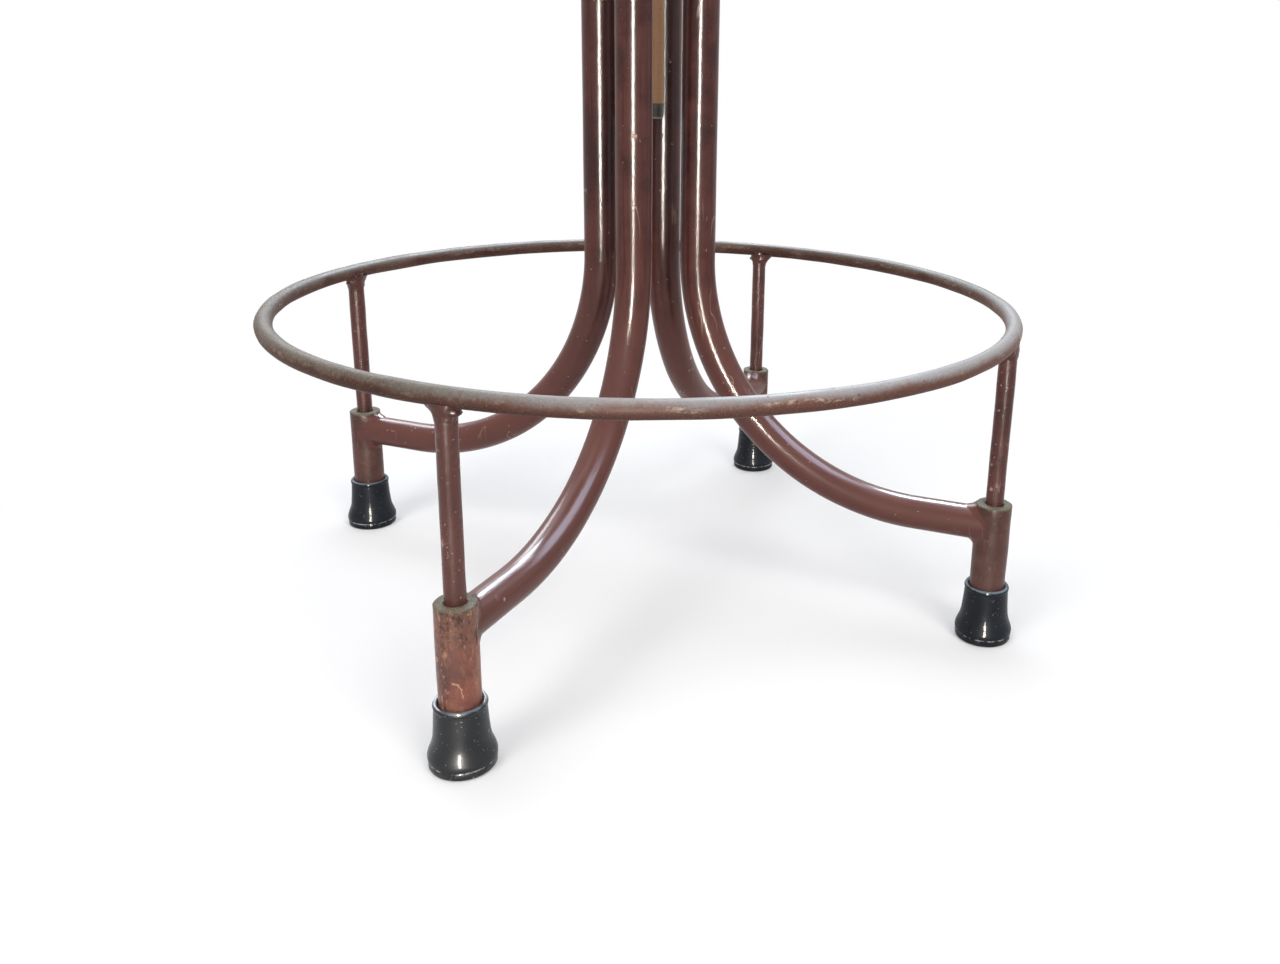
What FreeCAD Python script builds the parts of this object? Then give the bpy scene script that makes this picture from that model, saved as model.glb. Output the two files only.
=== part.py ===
import FreeCAD, Part
import math
import os

# Industrial stool with four bent tube legs, a foot ring and a round seat on a clamped stem.
# Millimetres. The origin is the middle of the floor under the stool and +Z is up.
# The legs stand on the diagonals, and the front of the stool faces -Y.

# Stance
LEG_NAMES = ("back_right", "back_left", "front_left", "front_right")
first_leg_azimuth = 45.0        # the others follow at quarter turns
foot_circle_radius = 267.5      # stool axis to the axis of each foot

# Clearances
joint_gap = 0.1                 # brazed, welded and pushed-in joints, per side
running_clearance = 0.05        # turning and sliding fits, per side
seat_gap = 0.3                  # faces that move past or press on each other

# Legs: straight at the top, one bend, then level to the foot socket
leg_bundle_radius = 37.3        # stool axis to the axis of each leg, above the bend
leg_plane_offset = 5.2          # each leg's upright plane passes beside the stool axis
leg_radius = 13.0
leg_end_radius = 12.0           # the tube is drawn down along its bend
leg_wall = 2.0
leg_bend_radius = 175.0
leg_level_height = 87.5         # axis of the level run

# Foot sockets
socket_radius = 12.5
socket_rim = 4.3                # socket top above the top of the level run
socket_chamfer = 0.7
braze_fillet_radius = 6.0
braze_top_drop = 0.8            # the fillet ends this far below the top of the socket
drill_point_angle = 31.0        # slope of the drilled hole's floor

# Rubber feet
foot_height = 41.5
foot_floor_thickness = 7.0
foot_lip_radius = 15.8
foot_lip_height = 3.6
foot_neck_radius = 15.3         # just under the lip
foot_waist_radius = 16.6        # where the flare begins
foot_waist_height = 19.0
foot_flare_radius = 20.3
foot_flare_height = 9.0
foot_tread_height = 5.5
foot_tread_corner = 2.6
foot_bead = 0.5                 # the tread's step inside the flare
foot_flare_bow = 0.34           # where the flare's arc passes, from waist to flare
foot_flare_fall = 0.56          # and how far down it is there
foot_washer_thickness = 2.0
foot_washer_gap = 0.6           # washer to the bore of the foot, per side

# Foot ring and its posts
ring_height = 225.0
ring_outset = 1.3               # ring centreline beyond the foot circle
ring_rod_radius = 5.85
post_radius = 6.25
post_seat_depth = 15.0
post_cope_height = 3.5          # the coped ears end this far below the ring's centreline
ring_weld_radius = 11.5         # how far the bead runs out under the ring, each way
ring_weld_drop = 9.0
ring_weld_wall = 0.9            # the bead beside the post, across the ring
ring_weld_bow = 0.35            # where the bead's arc passes, from post to rim
ring_weld_rise = 0.6            # and how far up it is there

# Cast hub that holds the leg tops
hub_base_height = 532.0
leg_socket_depth = 43.0
hub_wall = 5.4                  # around each leg
hub_body_height = 58.0
hub_waist_wall = 17.3           # outside the guide bush, between two legs
hub_neck_height = 22.0
hub_neck_wall = 9.0
hub_edge_fillet = 3.5
hub_braze_size = 3.0
hub_braze_bow = 0.3             # how far its hollow face stands off the corner

# Guide bush in the hub
bush_wall = 3.0
bush_base_rise = 6.0            # bush end above the underside of the hub
bush_flange_width = 3.5
bush_flange_thickness = 2.0

# Stem
stem_drop = 172.0               # stem's lower end below the hub, at rest
stem_rise = 58.0                # pivot flange above the guide bush, at rest
stem_radius = 10.0
stem_wall = 2.5
plug_band_height = 10.75
plug_insert_depth = 16.0
plug_chamfer = 1.0
pivot_insert_depth = 30.0
pivot_flange_radius = 13.0
pivot_flange_thickness = 4.0
pivot_radius = 8.0

# Seat bearing and its fixing
thrust_washer_radius = 14.0
thrust_washer_thickness = 3.0
retainer_washer_radius = 14.0
retainer_washer_thickness = 2.5
retainer_screw_radius = 4.0
retainer_screw_length = 22.0
retainer_head_flats = 13.0
retainer_head_height = 5.3

# Seat flange
seat_boss_radius = 16.0
seat_boss_height = 24.0
seat_flange_radius = 75.0
seat_flange_thickness = 6.0
seat_rib_thickness = 6.0
seat_rib_reach = 62.0
seat_flange_fillet = 6.0

# Seat board
board_radius = 175.0
board_thickness = 30.0
board_dish_radius = 152.0
board_dish_depth = 6.0
board_top_round = 10.0
board_bottom_round = 5.0
board_pocket_radius = 19.0
board_pocket_depth = 11.0

# Seat screws
seat_screw_count = 4
seat_screw_circle = 58.0
seat_screw_radius = 2.75
seat_screw_length = 24.0        # under the head
seat_screw_head_radius = 5.5
seat_screw_head_height = 3.2
seat_screw_tip = 6.0
seat_screw_dome_reach = 0.72    # where the head's arc passes, from axis to rim
seat_screw_dome_rise = 0.3      # and how far up it is there

# Clamp screw, its pad and its cross bar
clamp_azimuth = -90.0
clamp_rise = 34.0               # clamp's axis above the underside of the hub
clamp_boss_radius = 11.0
clamp_boss_reach = 50.0         # boss face from the stool axis
clamp_screw_radius = 6.0
clamp_screw_free_length = 12.0
clamp_head_radius = 9.0
clamp_head_length = 19.0
clamp_head_round = 2.0
clamp_pad_thickness = 3.0
clamp_pad_pin_radius = 2.0
clamp_pad_pin_length = 4.0
clamp_bar_radius = 4.0
clamp_bar_length = 92.0
clamp_knob_radius = 7.5
clamp_knob_seat_depth = 8.0

# Places that follow from the sizes above
UP = FreeCAD.Vector(0, 0, 1)
OUT = FreeCAD.Vector(1, 0, 0)
leg_bend_height = leg_level_height + leg_bend_radius
leg_top_height = hub_base_height + leg_socket_depth
leg_bundle_turn = math.degrees(math.asin(leg_plane_offset / leg_bundle_radius))
leg_foot_turn = math.degrees(math.asin(leg_plane_offset / foot_circle_radius))
hub_turn = leg_bundle_turn - leg_foot_turn      # the leg tops stand turned against the feet
leg_top_reach = leg_bundle_radius * math.cos(math.radians(leg_bundle_turn))
leg_foot_reach = foot_circle_radius * math.cos(math.radians(leg_foot_turn))
leg_bend_end = leg_top_reach + leg_bend_radius
socket_top_height = leg_level_height + leg_end_radius + socket_rim
socket_bottom_height = foot_floor_thickness + foot_washer_thickness
ring_radius = foot_circle_radius + ring_outset
post_bottom_height = socket_top_height - post_seat_depth
bush_radius = stem_radius + running_clearance + bush_wall
hub_lobe_radius = leg_radius + joint_gap + hub_wall
hub_body_top = hub_base_height + hub_body_height
hub_top_height = hub_body_top + hub_neck_height
bush_flange_top = hub_top_height + bush_flange_thickness
stem_bottom_height = hub_base_height - stem_drop
stem_top_height = bush_flange_top + stem_rise
pivot_shoulder_height = stem_top_height + pivot_flange_thickness
seat_boss_base = pivot_shoulder_height + thrust_washer_thickness + seat_gap
seat_height = seat_boss_base + seat_boss_height
pivot_top_height = seat_height + seat_gap
clamp_height = hub_base_height + clamp_rise
clamp_hole_radius = clamp_screw_radius + running_clearance
clamp_pad_face = stem_radius + seat_gap
clamp_screw_tip = clamp_pad_face + clamp_pad_thickness + seat_gap
clamp_head_start = clamp_boss_reach + clamp_screw_free_length
clamp_bar_reach = clamp_head_start + clamp_head_length / 2


def at(x, y, z):
    return FreeCAD.Vector(x, y, z)


def rod(radius, length, start, direction=UP):
    return Part.makeCylinder(radius, length, start, direction)


def tube(outer, inner, length, start, direction=UP):
    return rod(outer, length, start, direction).cut(rod(inner, length, start, direction))


def line(start, end):
    """An edge between two points of a profile, each given as radius and height."""
    return Part.LineSegment(at(start[0], 0, start[1]), at(end[0], 0, end[1])).toShape()


def bend(start, middle, end):
    """An arc edge through three points of a profile."""
    points = [at(p[0], 0, p[1]) for p in (start, middle, end)]
    return Part.Arc(*points).toShape()


def corner(centre, radius, start_angle, end_angle):
    """A round corner of a profile, about its centre, between two angles in degrees."""
    points = []
    for angle in (start_angle, (start_angle + end_angle) / 2, end_angle):
        turn = math.radians(angle)
        points.append((centre[0] + radius * math.cos(turn), centre[1] + radius * math.sin(turn)))
    return bend(*points)


def turned(edges):
    """The solid that a closed profile sweeps about the Z axis."""
    face = Part.Face(Part.Wire(Part.__sortEdges__(edges)))
    return face.revolve(at(0, 0, 0), UP, 360)


def turned_outline(points):
    """A turned solid whose profile has straight sides only."""
    closed = points + [points[0]]
    return turned([line(a, b) for a, b in zip(closed, closed[1:])])


def turn_about_stool(shape, azimuth):
    copy = shape.copy()
    copy.rotate(at(0, 0, 0), UP, azimuth)
    return copy


def shifted(shape, x, y, z):
    copy = shape.copy()
    copy.translate(at(x, y, z))
    return copy


def around_the_legs(shape):
    """Copies of a shape that is made at azimuth 0, one at each leg."""
    quarter = 360.0 / len(LEG_NAMES)
    return {name: turn_about_stool(shape, first_leg_azimuth + quarter * index)
            for index, name in enumerate(LEG_NAMES)}


def group(shapes):
    return Part.makeCompound(list(shapes))


# Legs

def in_leg_plane(shape):
    """Places a shape made along the X axis so that it follows the leg whose foot is at azimuth 0."""
    return turn_about_stool(shifted(shape, 0, leg_plane_offset, 0), -leg_foot_turn)


def leg_form(radius, end_radius, top_height, reach):
    """A solid leg along the X axis: straight, then a bend along which it tapers, then level."""
    straight = rod(radius, top_height - leg_bend_height, at(leg_top_reach, 0, leg_bend_height))
    level = rod(end_radius, reach - leg_bend_end, at(leg_bend_end, 0, leg_level_height), OUT)
    turn = math.radians(45)
    middle = at(leg_bend_end - leg_bend_radius * math.cos(turn), 0,
                leg_bend_height - leg_bend_radius * math.sin(turn))
    bend_start = at(leg_top_reach, 0, leg_bend_height)
    bend_end = at(leg_bend_end, 0, leg_level_height)
    spine = Part.Wire([Part.Arc(bend_start, middle, bend_end).toShape()])
    first = Part.Wire([Part.makeCircle(radius, bend_start, at(0, 0, -1))])
    last = Part.Wire([Part.makeCircle(end_radius, bend_end, OUT)])
    curved = spine.makePipeShell([first, last], True, False)
    return straight.fuse(curved).fuse(level)


def make_leg():
    outer = leg_form(leg_radius, leg_end_radius, leg_top_height, leg_foot_reach)
    inner = leg_form(leg_radius - leg_wall, leg_end_radius - leg_wall,
                     leg_top_height, leg_foot_reach)
    mouth = rod(socket_radius + joint_gap, socket_top_height,
                at(leg_foot_reach, 0, socket_bottom_height))
    return in_leg_plane(outer.cut(inner).cut(mouth))


# Foot sockets, brazes and rubber feet

def make_socket():
    """A bar with its top drilled for the ring post."""
    hole_radius = post_radius + joint_gap
    hole_bottom = post_bottom_height - joint_gap
    top = socket_top_height
    base = socket_bottom_height
    edge = socket_chamfer
    drill_point = hole_radius * math.tan(math.radians(drill_point_angle))
    return turned_outline([
        (0, base),
        (socket_radius - edge, base),
        (socket_radius, base + edge),
        (socket_radius, top - edge),
        (socket_radius - edge, top),
        (hole_radius, top),
        (hole_radius, hole_bottom),
        (0, hole_bottom - drill_point),
    ])


def make_leg_braze():
    """The concave fillet of metal round the leg's end, up to the rim of the socket."""
    tall = 2 * leg_level_height
    bar = rod(socket_radius + joint_gap, tall, at(leg_foot_reach, 0, 0))
    stub_start = leg_foot_reach - 3 * socket_radius
    stub = rod(leg_end_radius + joint_gap, leg_foot_reach - stub_start,
               at(stub_start, 0, leg_level_height), OUT)
    sharp = bar.fuse(stub)
    seam = [edge for edge in sharp.Edges if is_seam(edge)]
    filled = sharp.makeFillet(braze_fillet_radius, seam)
    size = 4 * socket_radius
    limit = socket_top_height - braze_top_drop
    lower = Part.makeBox(size, size, limit, at(leg_foot_reach - size, -size / 2, 0))
    return in_leg_plane(filled.cut(sharp).common(lower))


def is_seam(edge):
    """True for an edge that lies on the bar's wall within the height of the level run."""
    box = edge.BoundBox
    on_bar = leg_foot_reach - box.XMin < 1.5 * socket_radius
    by_leg = box.ZMin > leg_level_height - 1.5 * leg_end_radius
    below_top = box.ZMax < leg_level_height + 1.5 * leg_end_radius
    return on_bar and by_leg and below_top and box.YLength > leg_end_radius / 2


def make_rubber_foot():
    """A moulded ferrule: rounded lip, long neck, concave flare, a small bead, rounded tread."""
    bore = socket_radius + joint_gap
    tread = foot_flare_radius - foot_bead
    neck_height = foot_height - foot_lip_height
    lip_round = foot_lip_height / 2
    lip_centre = (foot_lip_radius - lip_round, neck_height + lip_round)
    waist = (foot_waist_radius, foot_waist_height)
    flare_top = (foot_flare_radius, foot_flare_height)
    flare_middle = (foot_waist_radius + foot_flare_bow * (foot_flare_radius - foot_waist_radius),
                    foot_waist_height - foot_flare_fall * (foot_waist_height - foot_flare_height))
    edges = [
        line((0, 0), (tread - foot_tread_corner, 0)),
        corner((tread - foot_tread_corner, foot_tread_corner), foot_tread_corner, -90, 0),
        line((tread, foot_tread_corner), (tread, foot_tread_height)),
        line((tread, foot_tread_height), (foot_flare_radius, foot_tread_height + foot_bead)),
        line((foot_flare_radius, foot_tread_height + foot_bead), flare_top),
        bend(flare_top, flare_middle, waist),
        line(waist, (foot_neck_radius, neck_height)),
        line((foot_neck_radius, neck_height), (lip_centre[0], neck_height)),
        corner(lip_centre, lip_round, -90, 90),
        line((lip_centre[0], foot_height), (bore, foot_height)),
        line((bore, foot_height), (bore, foot_floor_thickness)),
        line((bore, foot_floor_thickness), (0, foot_floor_thickness)),
        line((0, foot_floor_thickness), (0, 0)),
    ]
    return turned(edges)


def make_foot_washer():
    washer_radius = socket_radius + joint_gap - foot_washer_gap
    return rod(washer_radius, foot_washer_thickness, at(0, 0, foot_floor_thickness))


# Foot ring

def ring_form(rod_radius):
    return Part.makeTorus(ring_radius, rod_radius, at(0, 0, ring_height), UP)


def make_ring_post():
    top = ring_height - post_cope_height
    post = rod(post_radius, top - post_bottom_height, at(foot_circle_radius, 0, post_bottom_height))
    return post.cut(ring_form(ring_rod_radius + joint_gap))


def make_ring_weld():
    """A bead that flares from the top of a post along the ring, and is trimmed across it."""
    inner = post_radius + joint_gap
    top = ring_height - post_cope_height
    low = ring_height - ring_rod_radius - ring_weld_drop
    middle = (inner + ring_weld_bow * (ring_weld_radius - inner), low + ring_weld_rise * (top - low))
    bead = turned([
        line((inner, low), (inner, top)),
        line((inner, top), (ring_weld_radius, top)),
        bend((ring_weld_radius, top), middle, (inner, low)),
    ])
    half = post_radius + ring_weld_wall
    bead = bead.common(Part.makeBox(2 * half, 2 * ring_weld_radius, top - low,
                                    at(-half, -ring_weld_radius, low)))
    return shifted(bead, foot_circle_radius, 0, 0).cut(ring_form(ring_rod_radius + joint_gap))


# Hub

def hub_outline():
    """Four round lobes about the legs, joined by hollow arcs tangent to them."""
    offset = leg_bundle_radius / math.sqrt(2)
    waist = bush_radius + hub_waist_wall
    rise = waist - offset
    hollow = (rise ** 2 + offset ** 2 - hub_lobe_radius ** 2) / (2 * (hub_lobe_radius - rise))
    hollow_centre = waist + hollow
    lean = math.degrees(math.atan2(hollow_centre - offset, -offset))
    edges = []
    for quarter in range(4):
        lobe = [lobe_point(offset, angle) for angle in (90 - lean, 45, lean)]
        lobe_arc = Part.Arc(*lobe).toShape()
        hollow_arc = Part.Arc(lobe_point(offset, lean), at(0, waist, 0),
                              mirrored_x(lobe_point(offset, lean))).toShape()
        for edge in (lobe_arc, hollow_arc):
            edges.append(turn_about_stool(edge, 90 * quarter + hub_turn))
    return Part.Wire(Part.__sortEdges__(edges))


def lobe_point(offset, angle):
    """A point on the lobe that stands at azimuth 45, by its direction from the lobe's centre."""
    turn = math.radians(angle)
    return at(offset + hub_lobe_radius * math.cos(turn), offset + hub_lobe_radius * math.sin(turn), 0)


def mirrored_x(point):
    return at(-point.x, point.y, point.z)


def make_hub():
    body = Part.Face(hub_outline()).extrude(at(0, 0, hub_body_height))
    body.translate(at(0, 0, hub_base_height))
    rim = [edge for edge in body.Edges if edge.BoundBox.ZLength < 0.01]
    body = body.makeFillet(hub_edge_fillet, rim)
    neck_radius = bush_radius + joint_gap + hub_neck_wall
    neck = rod(neck_radius, hub_body_height / 2 + hub_neck_height,
               at(0, 0, hub_body_top - hub_body_height / 2))
    top_edge = [edge for edge in neck.Edges if edge.BoundBox.ZMin > hub_top_height - 0.01]
    neck = neck.makeFillet(hub_edge_fillet, top_edge)
    boss = rod(clamp_boss_radius, clamp_boss_reach, at(0, 0, clamp_height), OUT)
    solid = body.fuse(neck).fuse(turn_about_stool(boss, clamp_azimuth))
    bores = [rod(bush_radius + joint_gap, hub_top_height, at(0, 0, hub_base_height - 1))]
    leg_bore = rod(leg_radius + joint_gap, leg_socket_depth, at(leg_top_reach, 0, hub_base_height))
    bores += around_the_legs(in_leg_plane(leg_bore)).values()
    bores.append(turn_about_stool(clamp_hole(), clamp_azimuth))
    for bore in bores:
        solid = solid.cut(bore)
    return solid


def clamp_hole():
    return rod(clamp_hole_radius, 2 * clamp_boss_reach, at(0, 0, clamp_height), OUT)


def make_hub_braze():
    """A small fillet of metal under the hub, round one leg."""
    inner = leg_radius + joint_gap
    top = hub_base_height - joint_gap
    size = hub_braze_size
    slope = hub_braze_bow * size
    ring = turned([
        line((inner, top - size), (inner, top)),
        line((inner, top), (inner + size, top)),
        bend((inner + size, top), (inner + slope, top - slope), (inner, top - size)),
    ])
    return in_leg_plane(shifted(ring, leg_top_reach, 0, 0))


def make_guide_bush():
    bore = stem_radius + running_clearance
    base = hub_base_height + bush_base_rise
    flange_radius = bush_radius + bush_flange_width
    bush = turned_outline([
        (bore, base),
        (bush_radius, base),
        (bush_radius, hub_top_height),
        (flange_radius, hub_top_height),
        (flange_radius, bush_flange_top),
        (bore, bush_flange_top),
    ])
    return bush.cut(turn_about_stool(clamp_hole(), clamp_azimuth))


# Stem

def make_stem_tube():
    base = stem_bottom_height + plug_band_height
    return tube(stem_radius, stem_radius - stem_wall, stem_top_height - base, at(0, 0, base))


def make_stem_plug():
    insert = stem_radius - stem_wall - joint_gap
    shoulder = stem_bottom_height + plug_band_height
    return turned_outline([
        (0, stem_bottom_height),
        (stem_radius - plug_chamfer, stem_bottom_height),
        (stem_radius, stem_bottom_height + plug_chamfer),
        (stem_radius, shoulder),
        (insert, shoulder),
        (insert, shoulder + plug_insert_depth),
        (0, shoulder + plug_insert_depth),
    ])


def make_stem_pivot():
    """The turned piece in the top of the stem: insert, shoulder and the pin the seat turns on."""
    insert = stem_radius - stem_wall - joint_gap
    base = stem_top_height - pivot_insert_depth
    thread = retainer_screw_radius + running_clearance
    thread_bottom = pivot_top_height - retainer_screw_length
    return turned_outline([
        (0, base),
        (insert, base),
        (insert, stem_top_height),
        (pivot_flange_radius, stem_top_height),
        (pivot_flange_radius, pivot_shoulder_height),
        (pivot_radius, pivot_shoulder_height),
        (pivot_radius, pivot_top_height),
        (thread, pivot_top_height),
        (thread, thread_bottom),
        (0, thread_bottom),
    ])


def make_thrust_washer():
    return tube(thrust_washer_radius, pivot_radius + running_clearance,
                thrust_washer_thickness, at(0, 0, pivot_shoulder_height))


def make_retainer_washer():
    return tube(retainer_washer_radius, retainer_screw_radius + running_clearance,
                retainer_washer_thickness, at(0, 0, pivot_top_height))


def make_retainer_screw():
    head_base = pivot_top_height + retainer_washer_thickness
    shank_length = retainer_screw_length - seat_gap
    shank = rod(retainer_screw_radius, shank_length, at(0, 0, head_base - shank_length))
    corner_radius = retainer_head_flats / math.sqrt(3)
    corners = []
    for index in range(7):
        turn = math.radians(60 * index)
        corners.append(at(corner_radius * math.cos(turn), corner_radius * math.sin(turn), head_base))
    head = Part.Face(Part.makePolygon(corners)).extrude(at(0, 0, retainer_head_height))
    return shank.fuse(head)


# Seat

def seat_screw_places():
    """Azimuths of the seat screws, between the ribs of the flange."""
    step = 360.0 / seat_screw_count
    return [step * (index + 0.5) for index in range(seat_screw_count)]


def make_seat_flange():
    bore = pivot_radius + running_clearance
    under = seat_height - seat_flange_thickness
    fillet = seat_flange_fillet
    flange = turned([
        line((bore, seat_boss_base), (seat_boss_radius, seat_boss_base)),
        line((seat_boss_radius, seat_boss_base), (seat_boss_radius, under - fillet)),
        corner((seat_boss_radius + fillet, under - fillet), fillet, 180, 90),
        line((seat_boss_radius + fillet, under), (seat_flange_radius, under)),
        line((seat_flange_radius, under), (seat_flange_radius, seat_height)),
        line((seat_flange_radius, seat_height), (bore, seat_height)),
        line((bore, seat_height), (bore, seat_boss_base)),
    ])
    rib = make_seat_rib(under)
    for index in range(seat_screw_count):
        flange = flange.fuse(turn_about_stool(rib, 360.0 / seat_screw_count * index))
    hole = rod(seat_screw_radius + joint_gap, 2 * seat_flange_thickness,
               at(seat_screw_circle, 0, under - seat_flange_thickness / 2))
    for azimuth in seat_screw_places():
        flange = flange.cut(turn_about_stool(hole, azimuth))
    return flange


def make_seat_rib(under):
    """A web between the boss and the flange, with its free edge sloping up outwards."""
    inside = (pivot_radius + seat_boss_radius) / 2
    half = seat_rib_thickness / 2
    outline = [
        at(inside, -half, under + seat_flange_thickness / 2),
        at(inside, -half, seat_boss_base + seat_flange_thickness / 2),
        at(seat_boss_radius, -half, seat_boss_base + seat_flange_thickness / 2),
        at(seat_rib_reach, -half, under),
        at(seat_rib_reach, -half, under + seat_flange_thickness / 2),
    ]
    face = Part.Face(Part.makePolygon(outline + [outline[0]]))
    return face.extrude(at(0, seat_rib_thickness, 0))


def make_seat_board():
    """A round board with a dished top, rounded edges and a pocket for the pivot's screw."""
    base = seat_height
    top = seat_height + board_thickness
    pocket_top = base + board_pocket_depth
    dish_floor = top - board_dish_depth
    dish_quarter = board_dish_radius / 2
    dish_sphere = (board_dish_radius ** 2 + board_dish_depth ** 2) / (2 * board_dish_depth)
    dish_drop = dish_sphere - math.sqrt(dish_sphere ** 2 - dish_quarter ** 2)
    low_centre = (board_radius - board_bottom_round, base + board_bottom_round)
    high_centre = (board_radius - board_top_round, top - board_top_round)
    board = turned([
        line((0, pocket_top), (board_pocket_radius, pocket_top)),
        line((board_pocket_radius, pocket_top), (board_pocket_radius, base)),
        line((board_pocket_radius, base), (low_centre[0], base)),
        corner(low_centre, board_bottom_round, -90, 0),
        line((board_radius, low_centre[1]), (board_radius, high_centre[1])),
        corner(high_centre, board_top_round, 0, 90),
        line((high_centre[0], top), (board_dish_radius, top)),
        bend((board_dish_radius, top), (dish_quarter, dish_floor + dish_drop), (0, dish_floor)),
        line((0, dish_floor), (0, pocket_top)),
    ])
    screw = make_seat_screw(joint_gap)
    for azimuth in seat_screw_places():
        board = board.cut(turn_about_stool(screw, azimuth))
    return board


def make_seat_screw(extra=0.0):
    """A wood screw from below, its domed head under the flange; extra makes the hole for it."""
    under = seat_height - seat_flange_thickness
    shank_top = under + seat_screw_length + extra
    shank_radius = seat_screw_radius + extra
    head_base = under - seat_screw_head_height
    dome = (seat_screw_dome_reach * seat_screw_head_radius,
            head_base + seat_screw_dome_rise * seat_screw_head_height)
    screw = turned([
        bend((0, head_base), dome, (seat_screw_head_radius, under)),
        line((seat_screw_head_radius, under), (shank_radius, under)),
        line((shank_radius, under), (shank_radius, shank_top - seat_screw_tip)),
        line((shank_radius, shank_top - seat_screw_tip), (0, shank_top)),
        line((0, shank_top), (0, head_base)),
    ])
    return shifted(screw, seat_screw_circle, 0, 0)


# Clamp, made along +X and turned to its azimuth

def along_clamp(shape):
    """A shape turned about Z stands up from the stool axis; lay it along the clamp's axis."""
    copy = shape.copy()
    copy.rotate(at(0, 0, 0), at(0, 1, 0), 90)
    copy.translate(at(0, 0, clamp_height))
    return turn_about_stool(copy, clamp_azimuth)


def make_clamp_pad():
    pad = rod(clamp_screw_radius - running_clearance, clamp_pad_thickness, at(0, 0, clamp_pad_face))
    pin = rod(clamp_pad_pin_radius, clamp_pad_thickness + clamp_pad_pin_length,
              at(0, 0, clamp_pad_face))
    return along_clamp(pad.fuse(pin))


def make_clamp_screw():
    """The spindle: a hollow tip for the pad's pin, the thread's body and a head for the bar."""
    pin_hole = clamp_pad_pin_radius + running_clearance
    pin_hole_end = clamp_pad_face + clamp_pad_thickness + clamp_pad_pin_length + seat_gap
    head_end = clamp_head_start + clamp_head_length
    edge = clamp_head_round
    spindle = turned([
        line((pin_hole, clamp_screw_tip), (clamp_screw_radius, clamp_screw_tip)),
        line((clamp_screw_radius, clamp_screw_tip), (clamp_screw_radius, clamp_head_start)),
        line((clamp_screw_radius, clamp_head_start), (clamp_head_radius, clamp_head_start)),
        line((clamp_head_radius, clamp_head_start), (clamp_head_radius, head_end - edge)),
        corner((clamp_head_radius - edge, head_end - edge), edge, 0, 90),
        line((clamp_head_radius - edge, head_end), (0, head_end)),
        line((0, head_end), (0, pin_hole_end)),
        line((0, pin_hole_end), (pin_hole, pin_hole_end)),
        line((pin_hole, pin_hole_end), (pin_hole, clamp_screw_tip)),
    ])
    cross_hole = rod(clamp_bar_radius + joint_gap, 4 * clamp_head_radius,
                     at(0, -2 * clamp_head_radius, clamp_bar_reach), at(0, 1, 0))
    return along_clamp(spindle.cut(cross_hole))


def make_clamp_bar():
    bar = rod(clamp_bar_radius, clamp_bar_length,
              at(0, -clamp_bar_length / 2, clamp_bar_reach), at(0, 1, 0))
    return along_clamp(bar)


def make_clamp_knobs():
    """A ball with a blind hole on each end of the bar."""
    knobs = []
    centre = clamp_bar_length / 2 - clamp_knob_seat_depth + clamp_knob_radius
    bar = rod(clamp_bar_radius + joint_gap, clamp_bar_length + 2 * joint_gap,
              at(0, -clamp_bar_length / 2 - joint_gap, clamp_bar_reach), at(0, 1, 0))
    for side in (-1, 1):
        ball = Part.makeSphere(clamp_knob_radius, at(0, side * centre, clamp_bar_reach))
        knobs.append(along_clamp(ball.cut(bar)))
    return group(knobs)


# The whole stool, one file for each node

def make_nodes():
    nodes = {}
    for name, shape in around_the_legs(make_leg()).items():
        nodes["leg_" + name] = shape
    for name, shape in around_the_legs(shifted(make_socket(), foot_circle_radius, 0, 0)).items():
        nodes["foot_socket_" + name] = shape
    for name, shape in around_the_legs(make_ring_post()).items():
        nodes["ring_post_" + name] = shape
    for name, shape in around_the_legs(shifted(make_rubber_foot(), foot_circle_radius, 0, 0)).items():
        nodes["rubber_foot_" + name] = shape
    washer = shifted(make_foot_washer(), foot_circle_radius, 0, 0)
    nodes["foot_washers"] = group(around_the_legs(washer).values())
    for name, shape in around_the_legs(make_leg_braze()).items():
        nodes["leg_braze_" + name] = shape
    for name, shape in around_the_legs(make_ring_weld()).items():
        nodes["ring_weld_" + name] = shape
    nodes["foot_ring"] = ring_form(ring_rod_radius)
    nodes["top_hub"] = make_hub()
    nodes["hub_brazes"] = group(around_the_legs(make_hub_braze()).values())
    nodes["guide_bush"] = make_guide_bush()
    nodes["seat_stem"] = make_stem_tube()
    nodes["stem_end_plug"] = make_stem_plug()
    nodes["stem_top_pivot"] = make_stem_pivot()
    nodes["thrust_washer"] = make_thrust_washer()
    nodes["retainer_washer"] = make_retainer_washer()
    nodes["retainer_screw"] = make_retainer_screw()
    nodes["seat_flange"] = make_seat_flange()
    nodes["seat_board"] = make_seat_board()
    screws = [turn_about_stool(make_seat_screw(), azimuth) for azimuth in seat_screw_places()]
    nodes["seat_screws"] = group(screws)
    nodes["clamp_pad"] = make_clamp_pad()
    nodes["clamp_screw"] = make_clamp_screw()
    nodes["clamp_bar"] = make_clamp_bar()
    nodes["clamp_knobs"] = make_clamp_knobs()
    return nodes


def main():
    os.makedirs("parts", exist_ok=True)
    for name, shape in make_nodes().items():
        shape.exportStep("parts/" + name + ".step")
        print(name, len(shape.Solids), round(shape.Volume, 1), shape.isValid())


main()
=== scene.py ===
import math

import bmesh
import bpy
from bpy.props import FloatProperty, FloatVectorProperty, PointerProperty
from mathutils import Matrix, Vector, noise


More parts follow.
